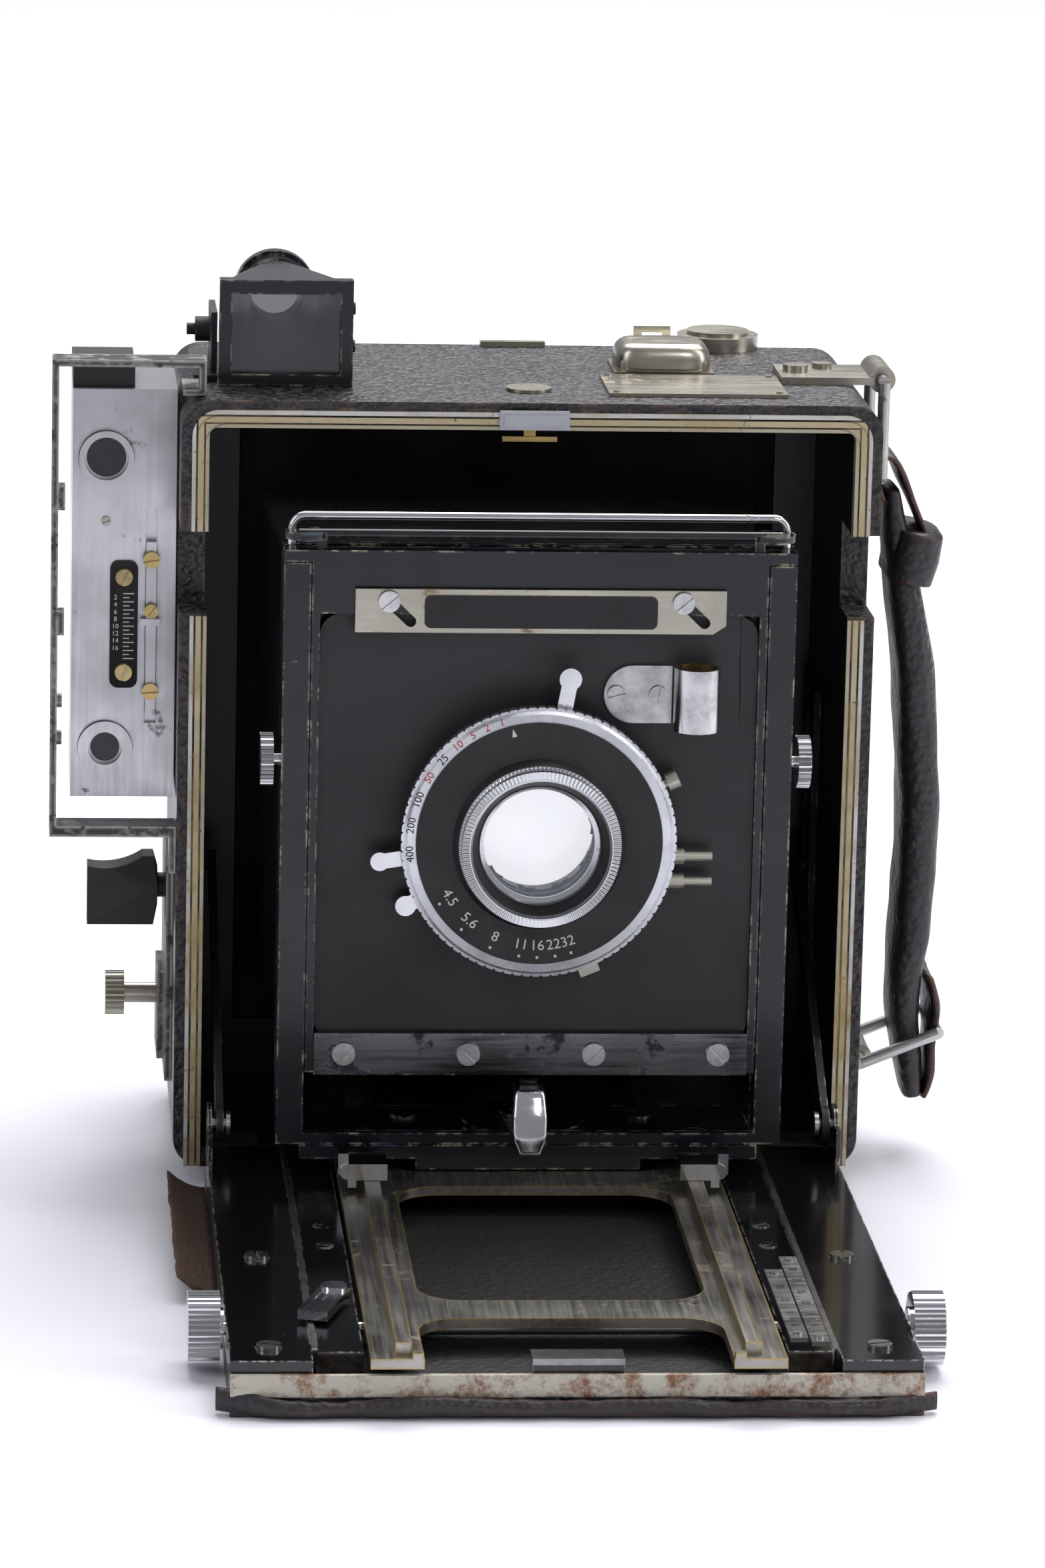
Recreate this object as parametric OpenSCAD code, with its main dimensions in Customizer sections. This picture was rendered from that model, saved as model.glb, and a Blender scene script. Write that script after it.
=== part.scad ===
// Folding press camera with a drop bed, a sliding lens standard and a focal-plane shutter.
// Work frame: X to the camera's left hand side seen from behind the lens, Y into the body
// from the front trim, Z up from the underside of the body. Every node is then moved so that
// the origin is the mouth of the tripod socket and the bed's underside is at Z = 0.

/* [Body] */
// Width of the leather covered body
body_w = 165; // [160:1:172]
// Height of the body
body_h = 187; // [185:1:192]
// Depth of the body from the front trim to the back frame
body_d = 97; // [95:1:104]
// Thickness of the covered side walls
wall = 6.5; // [6:0.5:8]

/* [Bed] */
// Length of the drop bed in front of the body
bed_len = 175; // [172:1:176]
// Half width of the bed
bed_half = 75; // [73:0.5:75]
// Distance of the focusing knobs' shaft from the front trim
knob_y = 141; // [138:1:143]
// Radius of the focusing knobs
knob_r = 8.3; // [7:0.1:9]

/* [Lens standard] */
// Distance of the standard's front lip from the front trim
lip_y = 31; // [30:0.5:32]
// Half width of the standard
std_half = 59.5; // [58:0.5:61]
// Height of the standard's top bar above the body's underside
std_top = 157.5; // [155:0.5:159]
// Side of the square lens board
board = 102; // [100:0.2:103]
// Height of the lens centre
lens_z = 91; // [89:0.5:93]
// Radius of the shutter's speed ring
ring_r = 32; // [30:0.5:33]

/* [Tripod socket] */
// Radius of the threaded socket
socket_r = 2.6; // [2.5:0.05:3.2]
// Distance of the socket behind the front trim
socket_y = 48; // [44:1:56]

/* [Hidden] */
$fn = 48;

in_half = body_w / 2 - wall;      // half width of the front opening
in_top = body_h - 6;              // ceiling of the front opening
foot = 4;                         // the tripod plate and the bed stand this far below the body
low_y = 4.8;                      // front plane of the body below the side notches
notch_z = [136.4, 156];           // the side notches' lower and upper edge
hinge_y = 0.5;
hinge_z = 2.5;
floor_z = 4;                      // inner floor of the body
gate_y = 76;                      // front face of the film gate
bed_z0 = -4;                      // underside of the bed
pan_z = 1.6;                      // top of the bed's panel
plate_z = 8;                      // top of the black bed plates
track_z = [6.9, 9.2];             // the focusing track's plate
bar_z = 12;                       // top of the track's raised bars
base_z = 12.2;                    // underside of the standard's base
shaft_z = 5.2;                    // height of the focusing shaft
board_y = -lip_y + 1.6;           // front face of the lens board
board_z0 = lens_z - 50.5;         // lower edge of the lens board
shutter_y = board_y - 13;         // front face of the shutter
strut_y = -14;                    // lower pivot of the struts at rest
strut_z = 16;
pin_y = 58;                       // upper pin of the struts at rest
pin_z = 62;
strut_x = 71.2;                   // inner face of the struts
frame_z0 = 33;                    // lower edge of the sliding lens frame
wire_x = 57.4;                    // legs of the wire finder
wire_y = -24;
wire_z = 164.4;
play = 0.05;                      // running clearance of a pin in its bore
lug_y = 40;                       // strap lugs' distance from the front trim
wire_r = 1.45;                    // radius of the strap's wire loops

black = "#17181b";
leather = "#222021";
silver = "#c9c9c6";
nickel = "#b8b5a8";
brass = "#a5843f";

// Moves the work frame to the tripod socket.
module placed() {
    translate([0, -socket_y, foot]) children();
}

// A box given by its two corners.
module block(a, b) {
    translate(a) cube(b - a);
}

// The same shape on both sides of the camera.
module both_sides() {
    children();
    mirror([1, 0, 0]) children();
}

// A rectangle with round corners, centred.
module round_rect(w, h, r) {
    for (sx = [-1, 1], sy = [-1, 1])
        translate([sx * (w / 2 - r), sy * (h / 2 - r)]) circle(r);
    square([w - 2 * r, h], center = true);
    square([w, h - 2 * r], center = true);
}

// Stands an outline in XZ up as a plate from y0 back to y1.
module wall_plate(y0, y1) {
    translate([0, y1, 0]) rotate([90, 0, 0]) linear_extrude(y1 - y0) children();
}

// A cylinder along Y from y0 to y1 at x, z.
module rod_y(x, z, r, y0, y1) {
    translate([x, y1, z]) rotate([90, 0, 0]) cylinder(r = r, h = y1 - y0);
}

// A cylinder along X from x0 to x1 at y, z.
module rod_x(y, z, r, x0, x1) {
    translate([x0, y, z]) rotate([0, 90, 0]) cylinder(r = r, h = x1 - x0);
}

// A cylinder along Z from z0 to z1 at x, y.
module rod_z(x, y, r, z0, z1) {
    translate([x, y, z0]) cylinder(r = r, h = z1 - z0);
}

// A slotted screw head facing the front.
module screw_front(x, z, y, r, turn = 0, h = 1) {
    translate([x, y, z]) rotate([90, 0, 0]) difference() {
        cylinder(r = r, h = h);
        rotate(turn) translate([-r - 1, -r * 0.14, h * 0.45]) cube([2 * r + 2, r * 0.28, h]);
    }
}

// A slotted screw head facing up.
module screw_up(x, y, z, r, turn = 0, h = 0.9) {
    translate([x, y, z]) difference() {
        cylinder(r = r, h = h);
        rotate(turn) translate([-r - 1, -r * 0.14, h * 0.45]) cube([2 * r + 2, r * 0.28, h]);
    }
}

// A wheel along +Z with V grooves cut round its edge.
module knurled(r, h, teeth, cut = 1.1) {
    linear_extrude(h) difference() {
        circle(r);
        for (i = [0 : teeth - 1])
            rotate(i * 360 / teeth) translate([r + cut * 0.25, 0]) rotate(45) square(cut, center = true);
    }
}

// ---------------------------------------------------------------- body

module body_outline() {
    translate([0, body_h / 2]) round_rect(body_w, body_h, 7);
}

module body_shell() {
    mid = (in_top + floor_z) / 2;
    color(leather) placed() difference() {
        wall_plate(0, body_d - 11) body_outline();
        // hollow behind the front opening
        wall_plate(-1, gate_y) translate([0, mid]) round_rect(2 * in_half, in_top - floor_z, 3);
        // film gate's seat and the shutter's space
        block([-66, gate_y - 1, 18], [66, body_d, 172]);
        // seat of the front trim's upper arch
        intersection() {
            wall_plate(-1, 2.65) translate([0, 92.4]) round_rect(2 * (in_half + 4) + 0.1, 184.9, 6.3);
            block([-100, -2, notch_z[1]], [100, 3, 200]);
        }
        // the lower front stands back
        block([-body_w, -1, -1], [body_w, low_y, notch_z[0]]);
        // notches for the focusing knobs when the bed is closed
        for (side = [-1, 1])
            translate([side * body_w / 2, 0, 0])
                block([-wall - 1, -1, notch_z[0] - 1], [wall + 1, 20, notch_z[1]]);
        // the floor is open at the front for the hinge
        block([-in_half, -1, -1], [in_half, low_y, floor_z + 1]);
        // holes of the side controls
        rod_x(40, 61, 3.05, -body_w / 2 - 1, -60);
        rod_x(40, 34, 2.55, -body_w / 2 - 1, -60);
        // tripod plate's recess
        block([-21, socket_y - 19, -1], [21, socket_y + 19, 2]);
        rod_z(0, socket_y, 6, 0, 4.5);
    }
}

module front_trim() {
    band = 4;
    color(silver) placed() {
        // upper arch
        difference() {
            wall_plate(-1, 2.6) difference() {
                translate([0, 92.4]) round_rect(2 * (in_half + band), 184.8, 6.3);
                translate([0, 90.35]) round_rect(2 * in_half, 180.7, 2);
            }
            block([-100, -2, -1], [100, 3, notch_z[1]]);
            for (d = [1, 2.9])
                wall_plate(-2, -0.6) difference() {
                    translate([0, 92.4 - d / 2]) round_rect(2 * (in_half + band - d) + 0.3, 184.8 - d, 5.4);
                    translate([0, 92.4 - d / 2]) round_rect(2 * (in_half + band - d) - 0.5, 184 - d, 5);
                    translate([-100, -1]) square([200, 1]);
                }
        }
        // lower uprights
        both_sides() difference() {
            block([in_half, low_y - 1, 0.4], [in_half + band, low_y, notch_z[0] - 1.6]);
            for (d = [1, 2.7])
                block([in_half + d, low_y - 2, 0], [in_half + d + 0.4, low_y - 0.6, 200]);
        }
        // blank plate at the top centre
        block([-8.2, -2, 180.9], [8.2, -1, 185.4]);
        block([-7.2, -2.3, 181.7], [7.2, -2, 184.6]);
    }
}

module inner_rails() {
    color(silver) placed() both_sides() {
        block([33, 12, floor_z], [45, gate_y - 2, 9.2]);
        block([36, 12, 9.2], [39.6, gate_y - 2, bar_z]);
        // hinge leaves on the floor
        difference() {
            union() {
                rod_x(hinge_y, hinge_z, 3, 62, 73);
                block([62, hinge_y, floor_z + 0.05], [73, 16, 5.4]);
            }
            rod_x(hinge_y, hinge_z, 1.5 + play, 60, 75);
        }
    }
}

module bed_latch() {
    color(brass) placed() {
        block([-1.4, 12.2, 176], [1.4, 13.6, in_top]);
        block([-6.5, 11.8, 175.8], [6.5, 12.2, 177]);
        block([-9, 12.2, in_top - 1.2], [9, 22, in_top]);
    }
}

// Corner gussets and the plate that closes the hollow behind the bellows.
module film_gate() {
    color(black) placed() difference() {
        block([-65.7, gate_y, 18.3], [65.7, gate_y + 2, 171.7]);
        block([-61, gate_y - 1, 46], [61, gate_y + 3, 142]);
    }
}

module back_frame() {
    y0 = body_d - 11 + 0.1;
    color(black) placed() difference() {
        wall_plate(y0, body_d) translate([0, 94]) round_rect(156, 168, 5);
        block([-62, y0 - 1, 45], [62, body_d + 1, 143]);
        // slots where a film holder slides in from the side
        block([-100, y0 + 3, 40], [-61, y0 + 8.4, 148]);
        block([-67, y0 + 3, 39], [67, y0 + 8.4, 149]);
    }
}

module ground_glass() {
    y0 = body_d - 11 + 0.1;
    color([0.8, 0.85, 0.85, 0.5]) placed() block([-60, y0 + 0.4, 48], [60, y0 + 2.6, 140]);
}

module hood_box() {
    color(black) placed() difference() {
        block([-64, body_d + 0.1, 43], [64, body_d + 8, 145]);
        block([-60, body_d - 1, 47], [60, body_d + 9, 141]);
        rod_x(body_d + 6.2, 145, 1.55, -70, 70);
        block([-56, body_d + 4, 142], [56, body_d + 9, 150]);
    }
}

module hood_door() {
    y = body_d + 6.2;
    color(leather) placed() {
        rod_x(y, 145, 1.5, -63.5, 63.5);
        block([-55.6, y - 1.5, 142.4], [55.6, y + 3.4, 146.5]);
        block([-64, body_d + 8.4, 43], [64, body_d + 9.8, 145]);
        rod_y(0, 50, 2.6, body_d + 9.8, body_d + 10.6);
    }
}

// Upper roller of the focal-plane shutter, turned by the winding key.
module curtain_roller() {
    color("#101010") placed() {
        rod_x(gate_y + 5.6, 163, 3.4, -60, 60);
        rod_x(gate_y + 5.6, 163, 2, -63, 63);
    }
}

// Two plain tubes, the front one inside the rear one, hold the place of the folded leather.
module bellows_tube(w, z0, z1, y0, y1) {
    wall_plate(y0, y1) translate([0, (z0 + z1) / 2]) difference() {
        round_rect(w, z1 - z0, 3);
        round_rect(w - 2.4, z1 - z0 - 2.4, 2);
    }
}

module bellows_rear() {
    color(black) placed() bellows_tube(112, 32, 150, 8, gate_y - 1.4);
}

module bellows_front() {
    color(black) placed() bellows_tube(96, 41, 141, -19.5, 36);
}

// ---------------------------------------------------------------- finders and side fittings

module viewfinder_case() {
    x = -57.5;
    color(black) placed() difference() {
        union() {
            // tapering tube
            hull() {
                block([x - 15.5, 21, 187.6], [x + 15.5, 24, 211]);
                rod_y(x, 200, 8.6, 76, 78);
            }
            block([x - 15.8, 19.8, 186.4 + 0.8], [x + 15.8, 24, 212.4]);
            rod_y(x, 200, 9, 78, 84);
            rod_y(x, 200, 10, 84, 88);
            block([x - 8, 60, 187.1], [x + 8, 76, 193]);
        }
        rod_y(x, 200, 6, 70, 90);
        block([x - 12.8, 18, 190], [x + 12.8, 23, 209]);
        hull() {
            block([x - 12.8, 22.9, 190], [x + 12.8, 23.1, 209]);
            rod_y(x, 200, 6, 76, 78);
        }
    }
}

module viewfinder_glass() {
    x = -57.5;
    color([0.7, 0.8, 0.85, 0.35]) placed() {
        block([x - 12.7, 21.2, 190.1], [x + 12.7, 22.7, 208.9]);
        rod_y(x, 200, 5.95, 81, 82.4);
    }
}

// Angle that carries the tubular finder on the body's top, with its side screws.
module finder_bracket() {
    color(black) placed() {
        block([-79, 26, 187.05], [-73.4, 66, 188.6]);
        block([-74.9, 30, 188.6], [-73.4, 50, 203]);
        rod_x(40, 197.5, 3, -78.4, -74.9);
        rod_x(40, 197.5, 1.4, -80.4, -78.4);
        for (z = [195, 204])
            rod_x(32, z, 1.5, -41.6, -40.6);
    }
}

module flash_bracket() {
    color("#5d5a55") placed() {
        block([-112.6, 6, 193.6], [-76.6, 15, 195.2]);
        block([-112.6, 6, 80.8], [-111, 15, 195.2]);
        block([-112.6, 6, 80.8], [-82.6, 15, 83.4]);
        block([-84.2, 6, 72], [-82.6, 15, 80.9]);
        block([-78.2, 6, 187.1], [-76.6, 15, 193.7]);
        block([-82, 6, 187.05], [-76.6, 22, 188.4]);
        for (z = [162, 132])
            block([-111, 8.6, z - 3], [-109.4, 12.4, z + 3]);
        for (z = [113, 104])
            rod_x(10.5, z, 1.7, -111, -109.8);
    }
}

module rangefinder_case() {
    color(silver) placed() difference() {
        block([-107.6, 18, 88], [-83, 50, 186.4]);
        rod_y(-99.6, 170, 6.6, 17, 21);
        rod_y(-99.4, 100, 6.6, 17, 21);
        block([-90.2, 17, 106], [-87.4, 19.4, 158]);
        // viewing channel to the back
        rod_y(-99.6, 170, 3, 20, 60);
    }
    color(black) placed() block([-107.6, 20, 186.4], [-93, 48, 191.6]);
}

module rangefinder_windows() {
    color("#d7d7d4") placed() for (w = [[-99.6, 170, 4.6], [-99.4, 100, 3.4]])
        difference() {
            rod_y(w[0], w[1], 6.5, 16.6, 20.8);
            rod_y(w[0], w[1], w[2] + 0.6, 15, 18.6);
            rod_y(w[0], w[1], w[2], 15, 22);
        }
    color([0.6, 0.68, 0.75, 0.5]) placed() {
        rod_y(-99.6, 170, 4.7, 18.8, 19.6);
        rod_y(-99.4, 100, 3.5, 18.8, 19.6);
    }
}

module rangefinder_scale() {
    color(black) placed() {
        wall_plate(17, 17.95) translate([-95.2, 130]) round_rect(6.6, 30.6, 2);
        screw_front(-95.2, 141.5, 17, 2, 65);
        screw_front(-95.2, 118.5, 17, 2, 80);
        screw_front(-99.6, 154.8, 17.95, 1.1, 20, 0.7);
    }
}

module rangefinder_slider() {
    color(silver) placed() {
        block([-90, 16.6, 108], [-87.6, 19.2, 150]);
        block([-91.4, 16, 130], [-86.6, 16.6, 131.6]);
        screw_front(-88.8, 145.8, 16.6, 2, 10);
        screw_front(-88.8, 114, 16.6, 2, 5);
        screw_front(-88.8, 133.6, 16, 1.7, 50);
    }
}

module winding_plate() {
    color("#3a3a3a") placed() difference() {
        union() {
            block([-84.2, 24, 16], [-82.6, 60, 72]);
            block([-86, 30, 20], [-84.2, 50, 42]);
        }
        rod_x(40, 61, 3.05, -90, -80);
        rod_x(40, 34, 2.55, -90, -80);
    }
}

module winding_key() {
    color(black) placed() {
        rod_x(40, 61, 3, -88.2, -75.6);
        difference() {
            hull() {
                rod_x(40, 61, 5, -88.2, -86);
                block([-103, 36, 52], [-87, 44, 69]);
            }
            rod_y(-99, 82, 16, 30, 50);
        }
    }
}

module tension_knob() {
    color(nickel) placed() {
        rod_x(40, 34, 2.5, -94, -75.6);
        translate([-98.4, 40, 34]) rotate([0, 90, 0]) knurled(5.4, 4.6, 24);
    }
}

// ---------------------------------------------------------------- top, strap and underside

module table_plate() {
    color(nickel) placed() {
        block([18.5, 10, 187.05], [61, 38, 187.9]);
        for (x = [20.4, 59.1], y = [12, 36])
            rod_z(x, y, 0.8, 187.9, 188.3);
    }
}

module release_dome() {
    color(nickel) placed() {
        block([22.5, 40.5, 187.05], [46.5, 60.5, 187.9]);
        hull() {
            block([24, 42, 187.8], [45, 59, 190]);
            block([27, 45, 190], [42, 56, 193.8]);
        }
        for (x = [25.5, 39.5])
            block([x, 62.2, 187.05], [x + 2, 66.2, 191]);
        rod_z(52, 86, 10, 187.05, 190.4);
        rod_z(52, 86, 7.6, 190.4, 191.4);
        block([-7, 82, 187.05], [9, 84.6, 188.4]);
        rod_z(0, 18.5, 5.4, 187.05, 187.8);
    }
}

module dome_bail() {
    color(nickel) placed() {
        rod_x(64.2, 190, 0.7, 27.6, 39.4);
        block([29, 63.5, 190], [31, 64.9, 195.4]);
        block([36, 63.5, 190], [38, 64.9, 195.4]);
        block([29, 63.5, 194], [38, 64.9, 195.4]);
    }
}

// Metal tabs that hold the strap's wire loops on the top and on the side.
module strap_lugs() {
    color(nickel) placed() {
        block([61.6, lug_y - 10, 187.05], [84, lug_y + 10, 188.8]);
        rod_z(66, lug_y, 3, 188.8, 190.4);
        rod_z(73, lug_y + 5, 2.4, 188.8, 190);
        // rolled eye of the upper tab
        difference() {
            rod_y(86, 188.2, 3.2, lug_y - 9, lug_y + 9);
            rod_y(86, 188.2, wire_r + 0.1, lug_y - 10, lug_y + 10);
        }
        // lower tab and its eye
        block([82.6, lug_y - 8, 18], [84, lug_y + 8, 32]);
        difference() {
            rod_y(86.2, 20, 3.2, lug_y - 7.5, lug_y + 7.5);
            rod_y(86.2, 20, wire_r + 0.1, lug_y - 9, lug_y + 9);
        }
    }
}

// Wire loops: the upper one hangs down from its eye, the lower one leans out.
module strap_loops() {
    half = 13;
    color(silver) placed() {
        rod_y(86, 188.2, wire_r, lug_y - half, lug_y + half);
        for (y = [-half, half])
            rod_z(86, lug_y + y, wire_r, 165, 188.2);
        rod_y(86, 165, wire_r, lug_y - half, lug_y + half);
        rod_y(86.2, 20, wire_r, lug_y - half, lug_y + half);
        for (y = [-half, half])
            translate([86.2, lug_y + y, 20]) rotate([0, 68, 0]) cylinder(r = wire_r, h = 20);
        rod_y(86.2 + 20 * sin(68), 20 + 20 * cos(68), wire_r, lug_y - half, lug_y + half);
    }
}

module strap() {
    color(leather) placed() block([88.6, lug_y - 12, 31.5], [99, lug_y + 12, 178]);
}

module tripod_plate() {
    color(silver) placed() difference() {
        union() {
            block([-20.8, socket_y - 18.8, -foot], [20.8, socket_y + 18.8, 1.9]);
            rod_z(0, socket_y, 5.8, 1.9, 4.4);
        }
        rod_z(0, socket_y, socket_r, -foot - 1, 3.2);
    }
}

// Slotted plates on the side walls: the struts' upper pins slide in them.
module strut_brackets() {
    color(black) placed() both_sides() difference() {
        block([74.4, pin_y - 9, 40], [in_half, pin_y + 9, 108]);
        block([74, pin_y - 5, 46], [in_half + 1, pin_y + 5, 102]);
    }
}

// ---------------------------------------------------------------- bed

module hinge_rod() {
    color(silver) placed() rod_x(hinge_y, hinge_z, 1.5, -74.4, 74.4);
}

module bed_panel() {
    color(leather) placed() difference() {
        union() {
            block([-bed_half, -bed_len, bed_z0], [bed_half, -3.2, pan_z]);
            rod_x(hinge_y, hinge_z, 3, -57, 57);
            block([-57, -3.4, bed_z0 + 3.4], [57, hinge_y, pan_z]);
            // raised rim at the front edge
            block([-bed_half, -bed_len, pan_z], [bed_half, -bed_len + 1.4, 5.2]);
        }
        rod_x(hinge_y, hinge_z, 1.5 + play, -80, 80);
    }
}

module bed_plates() {
    color(black) placed() {
        both_sides() difference() {
            union() {
                // outer plates
                block([57.2, -bed_len + 1.6, pan_z], [bed_half, -5, plate_z]);
                // inner guides, level with the plates
                block([46, -bed_len + 8, pan_z], [56, -6, plate_z]);
                // steel guide strips
                block([56, -bed_len + 9, pan_z], [57.2, -6, plate_z + 0.5]);
                // ears that carry the struts
                block([74, strut_y - 9, plate_z], [bed_half, strut_y + 7, 17]);
                rod_x(strut_y, strut_z, 5, 74, bed_half);
            }
            rod_x(-knob_y, shaft_z, 1.5 + play, 40, 80);
            rod_x(strut_y, strut_z, 1.5 + play, 70, 80);
        }
        both_sides() for (y = [-97, -164])
            screw_up(66.4, y, plate_z, 2.7, y);
        both_sides() for (y = [-72, -88])
            screw_up(50.6, y, plate_z, 1.9, 25, 0.25);
        // catch plate at the front centre
        block([-10, -bed_len + 1.6, pan_z], [10, -bed_len + 5, 7]);
        block([-10, -bed_len + 1.6, 7], [10, -bed_len + 8.4, 8.4]);
    }
}

module bed_scales() {
    color(silver) placed() {
        block([47.4, -159, plate_z], [51.4, -108, plate_z + 0.5]);
        block([51.8, -162, plate_z], [55.8, -98, plate_z + 0.5]);
        for (y = [-156, -111])
            rod_z(49.4, y, 1, plate_z + 0.5, plate_z + 1);
        for (y = [-159, -101])
            rod_z(53.8, y, 1, plate_z + 0.5, plate_z + 1);
    }
}

module bed_lock() {
    color(silver) placed() {
        rod_z(-50.6, -130, 1.5, plate_z + 0.1, plate_z + 3.6);
        rod_z(-50.6, -130, 2.8, plate_z + 3, plate_z + 3.8);
        translate([-50.6, -130, plate_z + 0.9]) rotate(-18) difference() {
            translate([-3.4, -18, 0]) cube([6.8, 19, 2.1]);
            for (x = [-2, 0, 2])
                translate([x - 0.35, -19, 1.5]) cube([0.7, 15, 1]);
        }
    }
}

module focus_shaft() {
    color(silver) placed() {
        rod_x(-knob_y, shaft_z, 1.5, -80, 80);
        both_sides() {
            rod_x(-knob_y, shaft_z, 1.6 + play, 39, 44.4);
            translate([76.2, -knob_y, shaft_z]) rotate([0, 90, 0]) knurled(knob_r, 7, 40);
            rod_x(-knob_y, shaft_z, 4.6, 75.4, 76.2);
        }
    }
}

module strut_pins() {
    color(silver) placed() both_sides() {
        rod_x(strut_y, strut_z, 1.5, strut_x - 0.6, bed_half);
        rod_x(strut_y, strut_z, 3, strut_x - 1.6, strut_x - 0.6);
    }
}

strut_len = norm([pin_y - strut_y, pin_z - strut_z]);
strut_angle = atan2(pin_z - strut_z, pin_y - strut_y);

// One flat strut with its bore below and its pin at the top, on the +X side.
module strut_shape() {
    translate([strut_x, strut_y, strut_z]) rotate([strut_angle, 0, 0]) {
        difference() {
            union() {
                rod_x(0, 0, 4.4, 0, 1.8);
                block([0, 0, -3.4], [1.8, strut_len, 3.4]);
                rod_x(strut_len, 0, 3.4, 0, 1.8);
            }
            rod_x(0, 0, 1.5 + play, -1, 3);
        }
        rod_x(strut_len, 0, 1.5, 1.7, 4.2);
    }
}

module strut_left() {
    color(black) placed() mirror([1, 0, 0]) strut_shape();
}

module strut_right() {
    color(black) placed() strut_shape();
}

// ---------------------------------------------------------------- focusing track

module track_outline() {
    difference() {
        translate([-45, -bed_len - 1]) square([90, bed_len - 3]);
        // window between the side rails
        translate([0, -88.5]) round_rect(64, 90, 10);
        // recess at the front
        translate([-33.4, -bed_len - 20]) square([66.8, 34]);
        translate([0, -bed_len + 7]) round_rect(66.8, 42, 9);
        // recess at the rear
        translate([0, -15]) round_rect(64, 32, 6);
        translate([-32, -15]) square([64, 20]);
    }
}

module track() {
    color(silver) placed() {
        translate([0, 0, track_z[0]]) linear_extrude(track_z[1] - track_z[0]) track_outline();
        both_sides() {
            block([36, -bed_len + 2, track_z[1]], [39.6, -4, bar_z]);
            block([33.6, -bed_len - 1, track_z[1]], [36, -bed_len + 1, 10.4]);
        }
    }
}

stop_y = [-49, -39];

module stop_shape() {
    block([34.2, stop_y[0], bar_z + 0.1], [43.4, stop_y[1], bar_z + 4]);
    block([41.4, stop_y[0], 10.4], [43.4, stop_y[1], bar_z + 0.1]);
    rod_y(43.4, bar_z + 1.8, 1.8, stop_y[0] + 1, stop_y[1] - 1);
    block([43.2, stop_y[0] + 2, bar_z + 1], [45.6, stop_y[1] - 2, bar_z + 6]);
}

module stop_left() {
    color(silver) placed() mirror([1, 0, 0]) stop_shape();
}

module stop_right() {
    color(silver) placed() stop_shape();
}

// ---------------------------------------------------------------- lens standard

module carriage_shoes() {
    color(silver) placed() both_sides() block([40.2, -lip_y + 2, track_z[1] + 0.2], [44.6, 1.6, 11.9]);
}

module standard_base() {
    color(black) placed() {
        difference() {
            union() {
                block([-54, -lip_y, 13.9], [54, 3.6, 15.6]);
                block([-54, -lip_y, base_z], [54, -lip_y + 1.6, 13.9]);
                block([-26.5, -lip_y, 9.6], [26.5, -lip_y + 1.6, base_z]);
                rod_z(0, -12, 15, 15.6, 17.4);
                rod_z(0, -12, 6, 17.4, 19);
            }
            rod_z(0, -12, 2.5 + play, 10, 20);
        }
        for (x = [-40, 40])
            rod_z(x, -22, 3.4, 15.6, 16.4);
        for (x = [-28, 28])
            rod_z(x, -6, 3, 15.6, 16.3);
    }
}

module base_lever() {
    color(silver) placed() {
        rod_z(0, -12, 2.5, 14.4, 21);
        block([-1.5, -13.5, 21], [1.5, -10.5, 31]);
        block([-1.5, -35, 29], [1.5, -10.5, 31]);
        block([-1.5, -36.2, 13.4], [1.5, -34.6, 31]);
    }
}

module standard_posts() {
    color(black) placed() {
        both_sides() {
            difference() {
                block([53.2, -lip_y + 0.3, 16], [std_half, -18, std_top - 3]);
                // channel in which the lens frame slides
                block([50, -lip_y + 3.4, 17], [56, -19.6, std_top + 1]);
                // bore of the wire finder's leg, and its seat when pushed down
                rod_z(wire_x, wire_y, 1.2, 78, 170);
                block([50, wire_y - 1.3, 151.4], [wire_x, wire_y + 1.3, std_top]);
            }
        }
        // front flange that joins the posts
        block([-std_half, -lip_y + 0.3, 15.7], [std_half, -lip_y + 2.8, 18.4]);
    }
}

// Sliding frame that holds the lens board: it rises inside the posts.
module lens_frame() {
    top = std_top;
    color(black) placed() difference() {
        union() {
            block([-52.9, -lip_y + 0.4, frame_z0], [52.9, -20, top]);
            // tongues in the posts' channels
            both_sides() block([52.8, -lip_y + 3.8, frame_z0], [55.6, -20, top - 4]);
            both_sides() block([50, -lip_y + 0.4, top - 2.8], [std_half, -20, top]);
        }
        block([-board / 2, -lip_y - 1, board_z0 - 0.1], [board / 2, board_y + 5, board_z0 + board + 0.1]);
        block([-46, -lip_y - 1, board_z0 + 5], [46, 0, board_z0 + board - 5]);
        // bores and seat of the wire finder
        both_sides() rod_z(wire_x, wire_y, 1.2, top - 10, top + 1);
        block([-wire_x, wire_y - 1.3, 151.4], [wire_x, wire_y + 1.3, top + 1]);
        block([-60, -lip_y - 1, 29], [60, -lip_y + 0.9, board_z0]);
    }
    // lower rod of the finder with its two eyelets
    color(silver) placed() {
        rod_x(wire_y - 4, top + 3.4, 1.15, -56, 56);
        both_sides() {
            block([49.6, wire_y - 4.6, top], [52, wire_y - 3.4, top + 3.2]);
            difference() {
                rod_z(wire_x - 3.2, wire_y - 2.6, 5, top + 2.2, top + 3.85);
                rod_z(wire_x, wire_y, 1.3, top, top + 8);
                block([40, wire_y - 1.3, top], [wire_x, wire_y + 1.3, top + 8]);
                rod_z(wire_x - 4.6, wire_y - 2.6, 1.6, top, top + 8);
            }
        }
    }
}

module lens_board() {
    color("#26262a") placed() difference() {
        wall_plate(board_y, board_y + 4.6) translate([0, board_z0 + board / 2]) round_rect(board - 0.2, board - 0.2, 5);
        rod_y(0, lens_z, 17.2, -60, 0);
    }
}

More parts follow.
